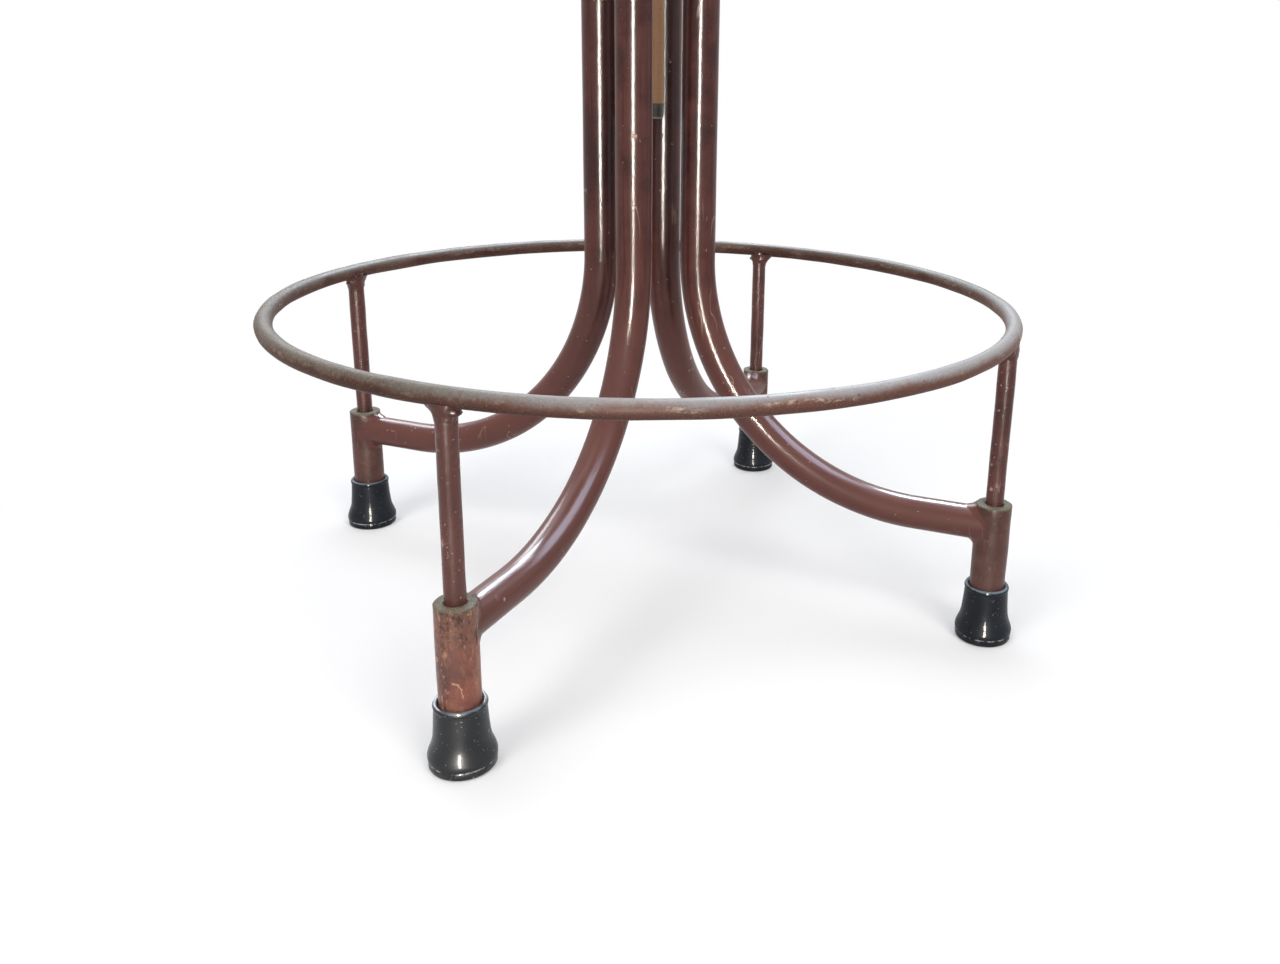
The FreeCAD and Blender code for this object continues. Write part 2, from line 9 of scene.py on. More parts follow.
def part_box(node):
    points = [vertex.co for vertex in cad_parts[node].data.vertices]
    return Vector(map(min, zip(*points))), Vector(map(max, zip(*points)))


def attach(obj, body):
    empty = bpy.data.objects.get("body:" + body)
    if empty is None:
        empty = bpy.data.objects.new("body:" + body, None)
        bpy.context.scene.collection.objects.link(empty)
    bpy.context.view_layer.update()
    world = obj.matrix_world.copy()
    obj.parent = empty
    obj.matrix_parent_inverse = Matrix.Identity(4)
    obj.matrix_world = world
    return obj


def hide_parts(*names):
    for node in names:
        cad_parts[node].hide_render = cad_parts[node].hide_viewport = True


bl_info = {
    "name": "Workshop Stool",
    "version": (1, 0, 0),
    "blender": (4, 5, 0),
    "location": "View3D > Sidebar > Stool",
    "description": "Dresses the frame of a workshop stool with its tubes, castings, seat and finishes",
    "category": "Object",
}

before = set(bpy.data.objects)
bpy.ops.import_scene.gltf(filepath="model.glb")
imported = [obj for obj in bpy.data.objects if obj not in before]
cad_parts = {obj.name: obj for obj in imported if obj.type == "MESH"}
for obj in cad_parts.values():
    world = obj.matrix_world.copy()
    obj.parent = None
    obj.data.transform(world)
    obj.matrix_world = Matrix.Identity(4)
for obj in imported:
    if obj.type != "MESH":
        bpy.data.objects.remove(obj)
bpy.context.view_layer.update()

# Each leg's name with the azimuth of its foot, in degrees
LEGS = {"front_left": -135.0, "front_right": -45.0, "back_left": 135.0, "back_right": 45.0}
MM = 0.001
# Radius of the hollow in the seat board
DISH_RADIUS = 0.152
# Room between the clamp's pad and the cast wall of its bore
CLAMP_BORE_CLEARANCE = 0.0003
# X and Z of the middle of the long crack, on the front left foot socket
LONG_CRACK = (-0.1915, 0.0545)


def on_screen(red, green, blue):
    """A linear colour from the red, green and blue that a screen shows, 0 to 255."""
    return tuple(((c / 255 + 0.055) / 1.055) ** 2.4 for c in (red, green, blue))


def length(name, description, millimetres):
    return FloatProperty(name=name, description=description, default=millimetres * MM,
                         min=0.0, unit="LENGTH")


def colour(name, description, red, green, blue):
    return FloatVectorProperty(name=name, description=description, subtype="COLOR", size=3,
                               min=0.0, max=1.0, default=on_screen(red, green, blue))


def angle(name, description, degrees):
    return FloatProperty(name=name, description=description, default=math.radians(degrees),
                         subtype="ANGLE")


def amount(name, description, value, least=0.0):
    return FloatProperty(name=name, description=description, default=value, min=least)


class StoolSizes(bpy.types.PropertyGroup):
    """Sizes of the pieces that the frame's boxes don't give"""

    leg_bundle: length("Leg bundle", "Stool axis to the axis of each leg at the top", 37.3)
    leg_offset: length("Leg offset", "How far each leg's upright plane passes beside the axis", 5.2)
    leg_radius: length("Leg radius", "Radius of a leg above its bend", 13.0)
    leg_end_radius: length("Leg end radius", "Radius of a leg below its bend", 12.0)
    leg_bend: length("Leg bend", "Radius of the bend, on the tube's axis", 175.0)
    foot_circle: length("Foot circle", "Stool axis to the axis of each foot", 267.5)
    socket_radius: length("Socket radius", "Radius of a foot socket", 12.5)
    post_radius: length("Post radius", "Radius of a ring post", 6.25)
    ring_radius: length("Ring radius", "Radius of the foot ring, on the rod's axis", 268.8)
    ring_rod: length("Ring rod", "Radius of the foot ring's rod", 5.85)
    clamp_pitch: length("Clamp pitch", "Pitch of the clamp screw's thread", 1.75)
    stave_width: length("Stave width", "Width of one stave of the seat board", 48.0)


class StoolFinish(bpy.types.PropertyGroup):
    """Colours of the finishes"""

    paint: colour("Paint", "Old red-brown paint", 93, 51, 45)
    paint_dark: colour("Dark paint", "The same paint where it has darkened", 64, 33, 31)
    paint_warm: colour("Warm paint", "The same paint where it has faded to red", 104, 64, 57)
    socket: colour("Socket", "Brighter red-brown paint of the worn socket", 152, 90, 72)
    chip: colour("Chip", "Pale primer in a chip", 200, 166, 148)
    rim: colour("Worn rim", "Grey metal at the rim of a socket", 128, 124, 108)
    rubber: colour("Rubber", "Black rubber", 18, 22, 28)
    stem: colour("Stem", "Dull tan stem", 160, 118, 82)
    plug: colour("Plug", "Dark plug in the stem", 62, 60, 54)
    steel: colour("Steel", "Dull steel of screws and bar", 150, 146, 140)
    bronze: colour("Bronze", "Dull bronze of bush and washer", 156, 118, 70)
    wood: colour("Wood", "Worn wood in the dish of the seat", 176, 124, 78)
    wood_dark: colour("Dark wood", "Wood grain and the edge of the seat", 96, 58, 34)


class StoolStage(bpy.types.PropertyGroup):
    """Camera, lamps and floor"""

    camera_place: FloatVectorProperty(name="Camera", description="Where the camera stands",
                                      default=(-0.2908, -0.7509, 0.3965), subtype="TRANSLATION")
    focal: amount("Focal length", "Camera lens on a 36 mm sensor", 30.43, 1.0)
    pitch: angle("Pitch", "How far the camera looks down", 15.739)
    heading: angle("Heading", "Turn of the camera from +Y towards +X", 25.931)
    roll: angle("Roll", "Turn of the camera about its own axis", 1.464)
    centre_x: amount("Centre across", "Pixel column of the lens axis", 735.55)
    centre_y: amount("Centre down", "Pixel row of the lens axis", 372.92)
    top_power: amount("Top lamp", "Power of the large lamp overhead", 36.0)
    key_power: amount("Key lamps", "Power of each soft lamp in front", 19.0)
    sheen_power: amount("Sheen lamp", "Power of the cool gleam from behind", 260.0)
    cool_power: amount("Cool lamp", "Power of the blue gleam from above", 110.0)
    back_power: amount("Back lamp", "Power of the pale gleam from behind", 70.0)
    strip_power: amount("Strip lamp", "Power of the tall lamp in front", 135.0)
    sky: amount("Sky", "Strength of the even light from all round", 0.47)


# Mesh helpers

def extent(node):
    """A node's lower end, its upper end and half its width, from its box."""
    low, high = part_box(node)
    return low.z, high.z, (high.x - low.x) / 2


def middle(node):
    """The height of the middle of a node's box."""
    low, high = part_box(node)
    return (low.z + high.z) / 2


def straight_side(radius, low, high, steps):
    """The points of a profile that goes straight up, close enough for noise to shape it."""
    return [(radius, low + (high - low) * i / steps) for i in range(steps + 1)]


def wire(bm, points):
    """A chain of edges in the XZ plane, from points given as radius and height."""
    verts = [bm.verts.new((r, 0, z)) for r, z in points]
    for a, b in zip(verts, verts[1:]):
        bm.edges.new((a, b))
    return verts


def round_corners(bm, verts, radius, segments):
    bmesh.ops.bevel(bm, geom=verts, offset=radius, offset_type="OFFSET", segments=segments,
                    profile=0.5, affect="VERTICES", clamp_overlap=True, material=-1)


def spin_full(bm, steps):
    bmesh.ops.spin(bm, geom=bm.verts[:] + bm.edges[:], cent=(0, 0, 0), axis=(0, 0, 1),
                   dvec=(0, 0, 0), angle=math.tau, steps=steps, use_merge=True,
                   use_normal_flip=False, use_duplicate=False)
    bmesh.ops.remove_doubles(bm, verts=bm.verts, dist=1e-6)


def draw_out(bm, edges, step, count):
    """Extrudes a loop of edges by a step, as often as count says, and gives the last loop."""
    for number in range(count):
        made = bmesh.ops.extrude_edge_only(bm, edges=edges)["geom"]
        verts = [g for g in made if isinstance(g, bmesh.types.BMVert)]
        edges = [g for g in made if isinstance(g, bmesh.types.BMEdge)]
        bmesh.ops.translate(bm, vec=step, verts=verts)
    return edges, verts


def lathe(points, steps=64, rounds=(), segments=4):
    """A turned form from a profile. rounds lists (index of a corner, radius) pairs."""
    bm = bmesh.new()
    verts = wire(bm, points)
    for radius in sorted({r for i, r in rounds}):
        round_corners(bm, [verts[i] for i, r in rounds if r == radius], radius, segments)
    spin_full(bm, steps)
    return bm


def rough_up(bm, size, height, seed, where=None):
    """Moves each vertex along its normal by smooth noise of a given feature size."""
    bm.normal_update()
    shift = Vector((seed * 7.3, seed * 3.1, seed * 5.7))
    for v in bm.verts:
        weight = 1.0 if where is None else where(v.co)
        v.co += v.normal * (noise.noise(v.co / size + shift) * height * weight)


def joined(parts):
    """One bmesh from several; the parts are freed."""
    whole = bmesh.new()
    for part in parts:
        mesh = bpy.data.meshes.new("part")
        part.to_mesh(mesh)
        part.free()
        whole.from_mesh(mesh)
        bpy.data.meshes.remove(mesh)
    return whole


def moved(bm, matrix):
    bmesh.ops.transform(bm, matrix=matrix, verts=bm.verts)
    return bm


def to_leg(azimuth, reach=0.0):
    """Places a form that is made on the stool axis at a leg, reach metres out."""
    return Matrix.Rotation(math.radians(azimuth), 4, "Z") @ Matrix.Translation((reach, 0, 0))


def in_leg_plane(sizes, azimuth):
    """Places a form made along +X so that it follows the leg whose foot is at an azimuth."""
    turn = math.radians(azimuth) - math.asin(sizes.leg_offset / sizes.foot_circle)
    return Matrix.Rotation(turn, 4, "Z") @ Matrix.Translation((0, sizes.leg_offset, 0))


def leg_reaches(sizes):
    """Where the axes of a leg's top and of its foot stand along its upright plane."""
    return tuple(math.sqrt(circle ** 2 - sizes.leg_offset ** 2)
                 for circle in (sizes.leg_bundle, sizes.foot_circle))


def finish_piece(bm, name, body, finish, *nodes):
    """Makes a smooth object at the origin from a bmesh and ties it to the frame."""
    bmesh.ops.recalc_face_normals(bm, faces=bm.faces)
    mesh = bpy.data.meshes.new(name)
    bm.to_mesh(mesh)
    bm.free()
    mesh.materials.append(material_named(finish))
    mesh.set_sharp_from_angle(angle=math.radians(40))
    piece = bpy.data.objects.new(name, mesh)
    bpy.context.scene.collection.objects.link(piece)
    for face in mesh.polygons:
        face.use_smooth = True
    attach(piece, body)
    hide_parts(*nodes)


def cast_copy(node, voxel, smoothing):
    """A casting from a CAD node: its copy is merged, remeshed and smoothed."""
    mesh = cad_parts[node].data.copy()
    bm = bmesh.new()
    bm.from_mesh(mesh)
    bmesh.ops.remove_doubles(bm, verts=bm.verts, dist=1e-5)
    bm.to_mesh(mesh)
    bm.free()
    rough = bpy.data.objects.new("casting", mesh)
    bpy.context.scene.collection.objects.link(rough)
    remesh = rough.modifiers.new("Remesh", "REMESH")
    remesh.mode = "VOXEL"
    remesh.voxel_size = voxel
    smooth = rough.modifiers.new("Smooth", "SMOOTH")
    smooth.factor = 0.5
    smooth.iterations = smoothing
    graph = bpy.context.evaluated_depsgraph_get()
    done = bmesh.new()
    done.from_mesh(bpy.data.meshes.new_from_object(rough.evaluated_get(graph)))
    bpy.data.objects.remove(rough)
    return done


# Node helpers

class Nodes:
    """A tree of nodes and short calls that add and join them."""

    def __init__(self, tree):
        self.tree = tree
        tree.nodes.clear()

    def node(self, kind, values=None, **settings):
        made = self.tree.nodes.new(kind)
        for key, value in settings.items():
            setattr(made, key, value)
        for key, value in (values or {}).items():
            self.feed(made.inputs[key], value)
        return made

    def feed(self, socket, value):
        if isinstance(value, bpy.types.NodeSocket):
            self.tree.links.new(value, socket)
        elif hasattr(value, "__len__") and len(value) == 3 and socket.type == "RGBA":
            socket.default_value = (*value, 1.0)
        else:
            socket.default_value = value

    def maths(self, operation, first, *others):
        """An operation on one value, or on two and then on each result and the next value."""
        if not others:
            return self.node("ShaderNodeMath", {0: first}, operation=operation).outputs[0]
        for other in others:
            first = self.node("ShaderNodeMath", {0: first, 1: other}, operation=operation).outputs[0]
        return first

    def times(self, *values):
        return self.maths("MULTIPLY", *values)

    def plus(self, *values):
        return self.maths("ADD", *values)

    def minus(self, *values):
        return self.maths("SUBTRACT", *values)

    def most(self, *values):
        return self.maths("MAXIMUM", *values)

    def total(self, *parts):
        """The sum of several values, each given with its weight."""
        return self.plus(*(self.times(value, weight) for value, weight in parts))

    def seen(self):
        """1 for what is seen straight, in a reflection or through something clear, 0 for light."""
        path = self.node("ShaderNodeLightPath")
        rays = ("Is Camera Ray", "Is Glossy Ray", "Is Transmission Ray")
        return self.most(*(path.outputs[ray] for ray in rays))


class Shader(Nodes):
    """One material. Places are in metres, in the object's own coordinates."""

    def __init__(self, name):
        self.material = bpy.data.materials.new("finish_" + name)
        self.material.use_nodes = True
        super().__init__(self.material.node_tree)
        self.surface = self.node("ShaderNodeBsdfPrincipled")
        self.node("ShaderNodeOutputMaterial", {"Surface": self.surface.outputs[0]})
        self.place = self.node("ShaderNodeTexCoord").outputs["Object"]

    def vector(self, operation, values, output=0):
        return self.node("ShaderNodeVectorMath", values, operation=operation).outputs[output]

    def mapped(self, stretch=(1, 1, 1), turn=(0, 0, 0), shift=(0, 0, 0), place=None):
        values = {"Vector": place or self.place, "Scale": stretch, "Rotation": turn, "Location": shift}
        return self.node("ShaderNodeMapping", values).outputs[0]

    def noise(self, scale, detail=3.0, rough=0.55, bend=0.0, place=None, **mapping):
        """Cloudy noise from 0 to 1. mapping holds a stretch and a shift, where it has them."""
        if mapping:
            place = self.mapped(place=place, **mapping)
        values = {"Vector": place or self.place, "Scale": scale, "Detail": detail,
                  "Roughness": rough, "Distortion": bend}
        return self.node("ShaderNodeTexNoise", values).outputs[0]

    def spread(self, value, low, high, to_low=0.0, to_high=1.0):
        """A soft step from to_low, where the value is low, to to_high, where it is high."""
        values = {"Value": value, "From Min": low, "From Max": high,
                  "To Min": to_low, "To Max": to_high}
        return self.node("ShaderNodeMapRange", values, interpolation_type="SMOOTHSTEP").outputs[0]

    def between(self, share, a, b):
        """Number a where share is 0 and b where it is 1."""
        return self.spread(share, 0.0, 1.0, a, b)

    def wavering(self, value, wave, reach):
        """The value, moved up and down by a noise within half the reach each way."""
        return self.plus(value, self.times(self.minus(wave, 0.5), reach))

    def blend(self, share, a, b, strength=None):
        """Colour a where share is 0 and b where it is 1, or less of b at a lower strength."""
        made = self.node("ShaderNodeMix", data_type="RGBA")
        self.feed(made.inputs[0], share if strength is None else self.times(share, strength))
        self.feed(made.inputs[6], a)
        self.feed(made.inputs[7], b)
        return made.outputs[2]

    def axis(self, name, place=None):
        return self.node("ShaderNodeSeparateXYZ", {0: place or self.place}).outputs[name]

    def along(self, direction):
        """How far a point lies out in a direction that is given as a vector."""
        return self.vector("DOT_PRODUCT", {0: self.place, 1: direction}, "Value")

    def from_axis(self):
        """How far a point lies from the stool's upright axis."""
        return self.vector("LENGTH", {0: self.mapped(stretch=(1, 1, 0))}, "Value")

    def near_foot(self):
        """1 at the front left foot, which has worn most, and 0 at the other three."""
        return self.spread(self.along((1, 1, 0)), -0.1, -0.3)

    def spots(self, scale, size, share, seed=0.0):
        """Ragged spots: size is their share of a cell, share how many cells have one."""
        ragged = self.node("ShaderNodeTexNoise", {"Vector": self.place, "Scale": scale * 2.4,
                                                  "Detail": 4.0, "Roughness": 0.7})
        drift = self.vector("SCALE", {0: ragged.outputs["Color"], "Scale": 1.1 / scale})
        place = self.mapped(shift=(seed, seed * 1.7, seed * 0.6),
                            place=self.vector("ADD", {0: self.place, 1: drift}))
        cells = self.node("ShaderNodeTexVoronoi", {"Vector": place, "Scale": scale})
        near = self.spread(cells.outputs["Distance"], size, size * 0.65)
        chance = self.axis("X", cells.outputs["Color"])
        return self.times(near, self.spread(chance, 1 - share, 1 - share + 0.01))

    def scratches(self, scale, stretch, turn, width, share, seed=0.0):
        """Thin broken lines: the ridges of stretched noise."""
        place = self.mapped(stretch, turn, (seed, seed * 0.3, seed * 1.9))
        ridge = self.maths("ABSOLUTE", self.minus(self.noise(scale, 2.0, place=place), 0.5))
        broken = self.noise(scale * 0.35, 2.0, shift=(seed, 3, 1))
        return self.times(self.spread(ridge, width, width * 0.3),
                          self.spread(broken, 1 - share, 1 - share + 0.06))

    def bump(self, height, distance):
        values = {"Height": height, "Distance": distance, "Strength": 1.0}
        return self.node("ShaderNodeBump", values).outputs[0]

    def done(self, **values):
        names = {"base": "Base Color", "metal": "Metallic", "rough": "Roughness",
                 "normal": "Normal", "coat": "Coat Weight", "coat_rough": "Coat Roughness",
                 "coat_normal": "Coat Normal", "specular": "Specular IOR Level"}
        for key, value in values.items():
            self.feed(self.surface.inputs[names[key]], value)
        return self.material


# Finishes

def paint_material(name, finish, gloss=0.13, coat=0.35, warm=0.35, chips=0.1, grime=0.5, crust=0.0,
                   seed=0.0):
    """Old brushed paint: cloudy tone, drawn-out streaks, pale chips, dark pits, scratches, and painted
    shade on the inner faces of the upright tubes.
    """
    s = Shader(name)
    cloud = s.noise(26.0, 5.0, 0.6, shift=(seed, 0, seed))
    tone = s.blend(s.spread(cloud, 0.34, 0.56), finish.paint_dark, finish.paint)
    tone = s.blend(s.spread(cloud, 0.5, 0.5 + warm, 0.0, 0.8), tone, finish.paint_warm)
    foot = s.times(s.spread(s.axis("Z"), 0.34, 0.17),
                   s.between(s.near_foot(), 0.75 - crust * 0.6, 0.8))
    tone = s.blend(foot, tone, finish.paint_warm)
    # Painted shade: darker paint on the faces of the upright tubes that look in towards the axis, where
    # the tubes shade each other.
    painted_bundle_shade = s.times(s.spread(s.from_axis(), 0.036, 0.027), s.spread(s.axis("Z"), 0.25, 0.32))
    tone = s.blend(painted_bundle_shade, tone, on_screen(54, 36, 38), 0.5)
    streak = s.noise(420.0, 3.0, 0.6, stretch=(1, 1, 0.03), shift=(seed, 1, 0))
    streak = s.times(s.spread(streak, 0.44, 0.68, 0.0, 0.7), s.spread(s.axis("Z"), 0.16, 0.3))
    tone = s.blend(streak, tone, finish.paint_dark)
    speck = s.noise(1300.0, 2.0, 0.6)
    tone = s.blend(s.spread(speck, 0.54, 0.7, 0.0, 0.4), tone, finish.paint_warm)
    flock = s.spread(s.noise(17.0, 3.0, shift=(seed, 8, 3)), 0.5, 0.6)
    pits = s.spread(s.noise(420.0, 5.0, 0.75, shift=(seed, 4, 4)), 0.38, 0.32)
    dark = s.most(s.times(pits, flock, grime), s.spots(70.0, 0.1, 0.2, seed + 4))
    torn = s.spread(s.noise(210.0, 4.0, 0.7, shift=(seed, 6, 2)), 0.5, 0.56)
    pale = s.times(s.spots(60.0, 0.22, chips, seed + 9), torn)
    crumbs = s.spots(340.0, 0.2, chips * 0.45, seed + 2)
    lines = s.scratches(60.0, (1, 1, 0.12), (0.5, 0.2, 0.3), 0.008, 0.4, seed)
    across = s.scratches(48.0, (1, 1, 0.2), (1.2, 0.4, 0.9), 0.007, 0.36, seed + 2)
    light = s.most(pale, crumbs, s.times(s.most(lines, across), 0.4))
    tone = s.blend(dark, tone, on_screen(44, 26, 23), 0.7)
    tone = s.blend(light, tone, finish.chip, 0.8)
    worn = s.most(dark, light)
    clear = s.plus(s.spread(cloud, 0.3, 0.7, gloss * 0.8, gloss * 1.3), s.times(worn, 0.3))
    relief = [(s.noise(1500.0, 3.0, 0.65), 0.25), (s.noise(120.0, 2.0, stretch=(1, 1, 0.3)), 0.3),
              (worn, -0.7)]
    if crust:
        relief.append((s.noise(360.0, 4.0, 0.7), crust))
    normal = s.bump(s.total(*relief), 0.00022)
    return s.done(base=tone, rough=s.spread(cloud, 0.3, 0.7, 0.34, 0.46), normal=normal,
                  specular=0.05, coat=coat, coat_rough=clear, coat_normal=normal)


def ring_material(height, drop):
    """Red-brown paint below; on top grey, partly rubbed wear and partly a painted reflection of the
    light overhead; painted lighter on the front and right; cream patches between, partly bare metal and
    partly painted highlight.

    height is the level of the rod's axis, and drop sets how far the grey top, wear and painted
    reflection, goes down its sides.
    """
    s = Shader("ring_metal")
    cloud = s.noise(30.0, 5.0, 0.62)
    fine = s.noise(360.0, 4.0, 0.65)
    speck = s.noise(850.0, 3.0, 0.7)
    to_right = s.along((0.9, -0.44, 0))
    to_back = s.along((0.44, 0.9, 0))
    edge = s.wavering(s.axis("Z"), cloud, drop * 1.6)
    # The grey top: partly rubbed wear, partly a painted reflection of the light overhead.
    worn = s.spread(s.wavering(edge, fine, drop * 0.35), height, height + drop * 0.85)
    # Painted light: less of the grey top on the left and at the back.
    wear_and_sheen_by_side = s.times(s.spread(to_right, -0.26, -0.08, 0.85, 1.0),
                      s.spread(to_back, 0.22, 0.06, 0.65, 1.0))
    # Painted light: the paint and the grey are lighter on the front and right, the side that faces the
    # camera.
    front = s.times(s.spread(to_right, -0.13, 0.02), s.spread(to_back, 0.1, -0.05))
    paint = s.blend(s.spread(cloud, 0.35, 0.65), on_screen(82, 55, 47), on_screen(102, 74, 65))
    paint = s.blend(front, paint, on_screen(124, 88, 78))
    grey = s.blend(s.spread(fine, 0.3, 0.75), on_screen(94, 90, 81), on_screen(114, 109, 99))
    grey = s.blend(front, grey, on_screen(150, 149, 149))
    tone = s.blend(s.times(worn, wear_and_sheen_by_side), paint, grey, 0.88)
    tone = s.blend(s.spread(speck, 0.54, 0.68, 0.0, 0.35), tone, on_screen(72, 52, 46))
    tone = s.blend(s.spread(speck, 0.42, 0.3, 0.0, 0.35), tone, on_screen(184, 172, 160))
    # Cream patches in a band halfway down the side, where the rod faces the camera: partly bare metal,
    # partly painted highlight.
    band = s.times(s.spread(edge, height - drop * 0.05, height + drop * 0.1),
                   s.spread(edge, height + drop * 0.48, height + drop * 0.36))
    patch = s.spread(s.noise(34.0, 3.0, shift=(2, 5, 1)), 0.5, 0.62)
    torn = s.noise(190.0, 5.0, 0.75, stretch=(1, 1, 2.5), shift=(4, 1, 7))
    bare_metal_and_highlight = s.times(band, patch, s.spread(torn, 0.46, 0.56), s.between(front, 0.3, 1.0))
    tone = s.blend(bare_metal_and_highlight, tone, on_screen(208, 190, 166), 0.65)
    pits = s.spots(210.0, 0.2, 0.2, 3.0)
    tone = s.blend(pits, tone, on_screen(62, 44, 40), 0.5)
    relief = s.total((fine, 0.14), (pits, -0.5), (speck, 0.2))
    return s.done(base=tone, rough=s.spread(cloud, 0.3, 0.7, 0.44, 0.56), specular=0.06,
                  normal=s.bump(relief, 0.00015))


def socket_material(finish, rim_height, crack_at):
    """The leg paint, redder, crazed and pitted, with a grey worn rim at the top.

    crack_at is the X and Z of the long crack's middle on the socket that has worn most.
    """
    s = Shader("foot_paint")
    cloud = s.noise(34.0, 5.0, 0.6)
    speck = s.noise(1100.0, 3.0, 0.6)
    worst = s.near_foot()
    fresh = s.blend(s.spread(cloud, 0.36, 0.66), on_screen(78, 51, 45), on_screen(98, 66, 58))
    faded = s.blend(s.spread(cloud, 0.3, 0.6), finish.paint_warm, finish.socket)
    faded = s.blend(s.spread(s.axis("Z"), 0.05, 0.1, 0.0, 0.6), faded, on_screen(124, 86, 72))
    tone = s.blend(worst, fresh, faded)
    tone = s.blend(s.spread(speck, 0.5, 0.7, 0.0, 0.5), tone, finish.paint)
    rust = s.spread(s.noise(150.0, 5.0, 0.7, stretch=(1, 1, 0.4)), 0.52, 0.64)
    tone = s.blend(s.times(rust, worst), tone, on_screen(160, 116, 92), 0.5)
    trail = s.spread(s.noise(48.0, 3.0, stretch=(1, 1, 0.3), shift=(3, 1, 2)), 0.36, 0.54)
    trail = s.times(trail, s.between(worst, 0.12, 1.0))
    blister = s.noise(330.0, 5.0, 0.72, stretch=(1, 1, 0.6), shift=(5, 2, 1))
    pits = s.most(s.times(s.spread(blister, 0.46, 0.4), trail),
                  s.times(s.spots(300.0, 0.4, 0.5, 5.0), trail))
    crumbs = s.times(s.spread(blister, 0.56, 0.62), trail)
    wander = s.times(s.minus(s.noise(190.0, 3.0), 0.5), 0.009)
    up = s.minus(s.axis("Z"), crack_at[1])
    off = s.plus(s.minus(s.axis("X"), wander, crack_at[0]), s.times(up, 0.5))
    crack = s.times(s.spread(s.maths("ABSOLUTE", off), 0.0008, 0.0004),
                    s.spread(s.maths("ABSOLUTE", up), 0.006, 0.0045), worst)
    pale = s.most(s.spots(150.0, 0.13, 0.1, 2.0), crumbs, crack)
    edge = s.plus(s.axis("Z"), s.times(s.noise(260.0, 3.0), 0.0035))
    rim = s.spread(edge, rim_height - 0.0002, rim_height + 0.0016)
    tone = s.blend(pits, tone, on_screen(62, 35, 28), 0.75)
    tone = s.blend(pale, tone, on_screen(208, 160, 128), 0.75)
    olive = s.blend(s.spread(speck, 0.35, 0.65), finish.rim, on_screen(92, 88, 74))
    tone = s.blend(rim, tone, olive, 0.92)
    rough = s.plus(s.spread(cloud, 0.3, 0.7, 0.3, 0.38), s.times(rim, 0.2))
    shine = s.times(s.between(worst, 0.2, 0.28), s.between(rim, 1.0, 0.2))
    relief = s.total((s.noise(480.0, 3.0), 0.35), (pits, -0.8), (pale, -0.4),
                     (s.noise(110.0, 2.0), 0.7))
    return s.done(base=tone, rough=rough, specular=shine, normal=s.bump(relief, 0.0003))


def rubber_material(finish, lip):
    """Glossy moulded rubber: fine rings, dust and nicks, a painted highlight along the bead and a
    painted reflection along the lip.
    """
    s = Shader("rubber")
    cloud = s.noise(60.0, 4.0)
    ragged = s.noise(240.0, 4.0, 0.7)
    dust = s.spots(420.0, 0.14, 0.5, 1.0)
    nick = s.spots(170.0, 0.12, 0.45, 6.0)
    rub = s.scratches(90.0, (1, 1, 0.3), (0.9, 0.3, 0.2), 0.006, 0.4, 5.0)
    near = s.near_foot()
    tone = s.blend(s.spread(cloud, 0.35, 0.7), finish.rubber, on_screen(22, 27, 35))
    tone = s.blend(near, tone, on_screen(22, 25, 29))
    dusty = s.times(s.most(dust, nick), s.between(near, 0.4, 0.8))
    tone = s.blend(dusty, tone, on_screen(160, 160, 152))
    tone = s.blend(rub, tone, on_screen(120, 122, 120), 0.4)
    edge = s.wavering(s.axis("Z"), ragged, 0.001)
    # Painted highlight: a pale ragged line along the bead near the bottom.
    bead = s.times(s.spread(edge, 0.0046, 0.0051), s.spread(edge, 0.0061, 0.0056),
                   s.spread(ragged, 0.4, 0.55))
    # Painted reflection: a patchy blue-white line just under the top of the lip.
    rim = s.times(s.spread(edge, lip - 0.0011, lip - 0.0004), s.spread(cloud, 0.36, 0.6, 0.2, 1.0))
    tone = s.blend(bead, tone, on_screen(186, 188, 186), 0.7)
    tone = s.blend(rim, tone, on_screen(140, 158, 172), 0.6)
    rough = s.plus(s.spread(cloud, 0.3, 0.7, 0.36, 0.46), s.times(s.most(dust, rub), 0.3))
    rings = s.noise(1600.0, 1.0, stretch=(0.02, 0.02, 1))
    relief = s.total((s.noise(420.0, 2.0), 0.15), (nick, -0.6), (rings, s.between(near, 0.5, 0.2)))
    normal = s.bump(relief, 0.00022)
    return s.done(base=tone, rough=rough, normal=normal, specular=s.between(near, 0.05, 0.2),
                  coat=0.26, coat_rough=0.12, coat_normal=normal)


def stem_material(finish):
    """Dull tan tube with faint rings and fine scratches."""
    s = Shader("stem_metal")
    cloud = s.noise(45.0, 4.0, 0.6)
    rings = s.noise(600.0, 3.0, stretch=(0.08, 0.08, 1))
    tone = s.blend(s.spread(cloud, 0.35, 0.68), finish.stem, on_screen(162, 120, 86))
    tone = s.blend(s.spread(rings, 0.55, 0.75, 0.0, 0.15), tone, on_screen(128, 90, 66))
    marks = s.scratches(55.0, (1, 1, 3.0), (0.3, 0.1, 0.0), 0.008, 0.45, 2.0)
    tone = s.blend(marks, tone, on_screen(112, 74, 54), 0.5)
    return s.done(base=tone, rough=s.spread(cloud, 0.3, 0.7, 0.5, 0.66), specular=0.3,
                  normal=s.bump(s.total((rings, 0.2), (marks, -0.4)), 0.0001))


def plug_material(finish, bottom):
    """Dark grey-green plug with a pale band at its bottom edge."""
    s = Shader("plug_metal")
    cloud = s.noise(260.0, 4.0, 0.65)
    tone = s.blend(s.spread(cloud, 0.35, 0.65), on_screen(38, 38, 34), finish.plug)
    edge = s.plus(s.axis("Z"), s.times(cloud, 0.0012))
    pale = s.spread(edge, bottom + 0.0024, bottom + 0.0012)
    tone = s.blend(pale, tone, on_screen(150, 146, 132), 0.75)
    return s.done(base=tone, rough=0.5, metal=0.3, normal=s.bump(cloud, 0.0002))


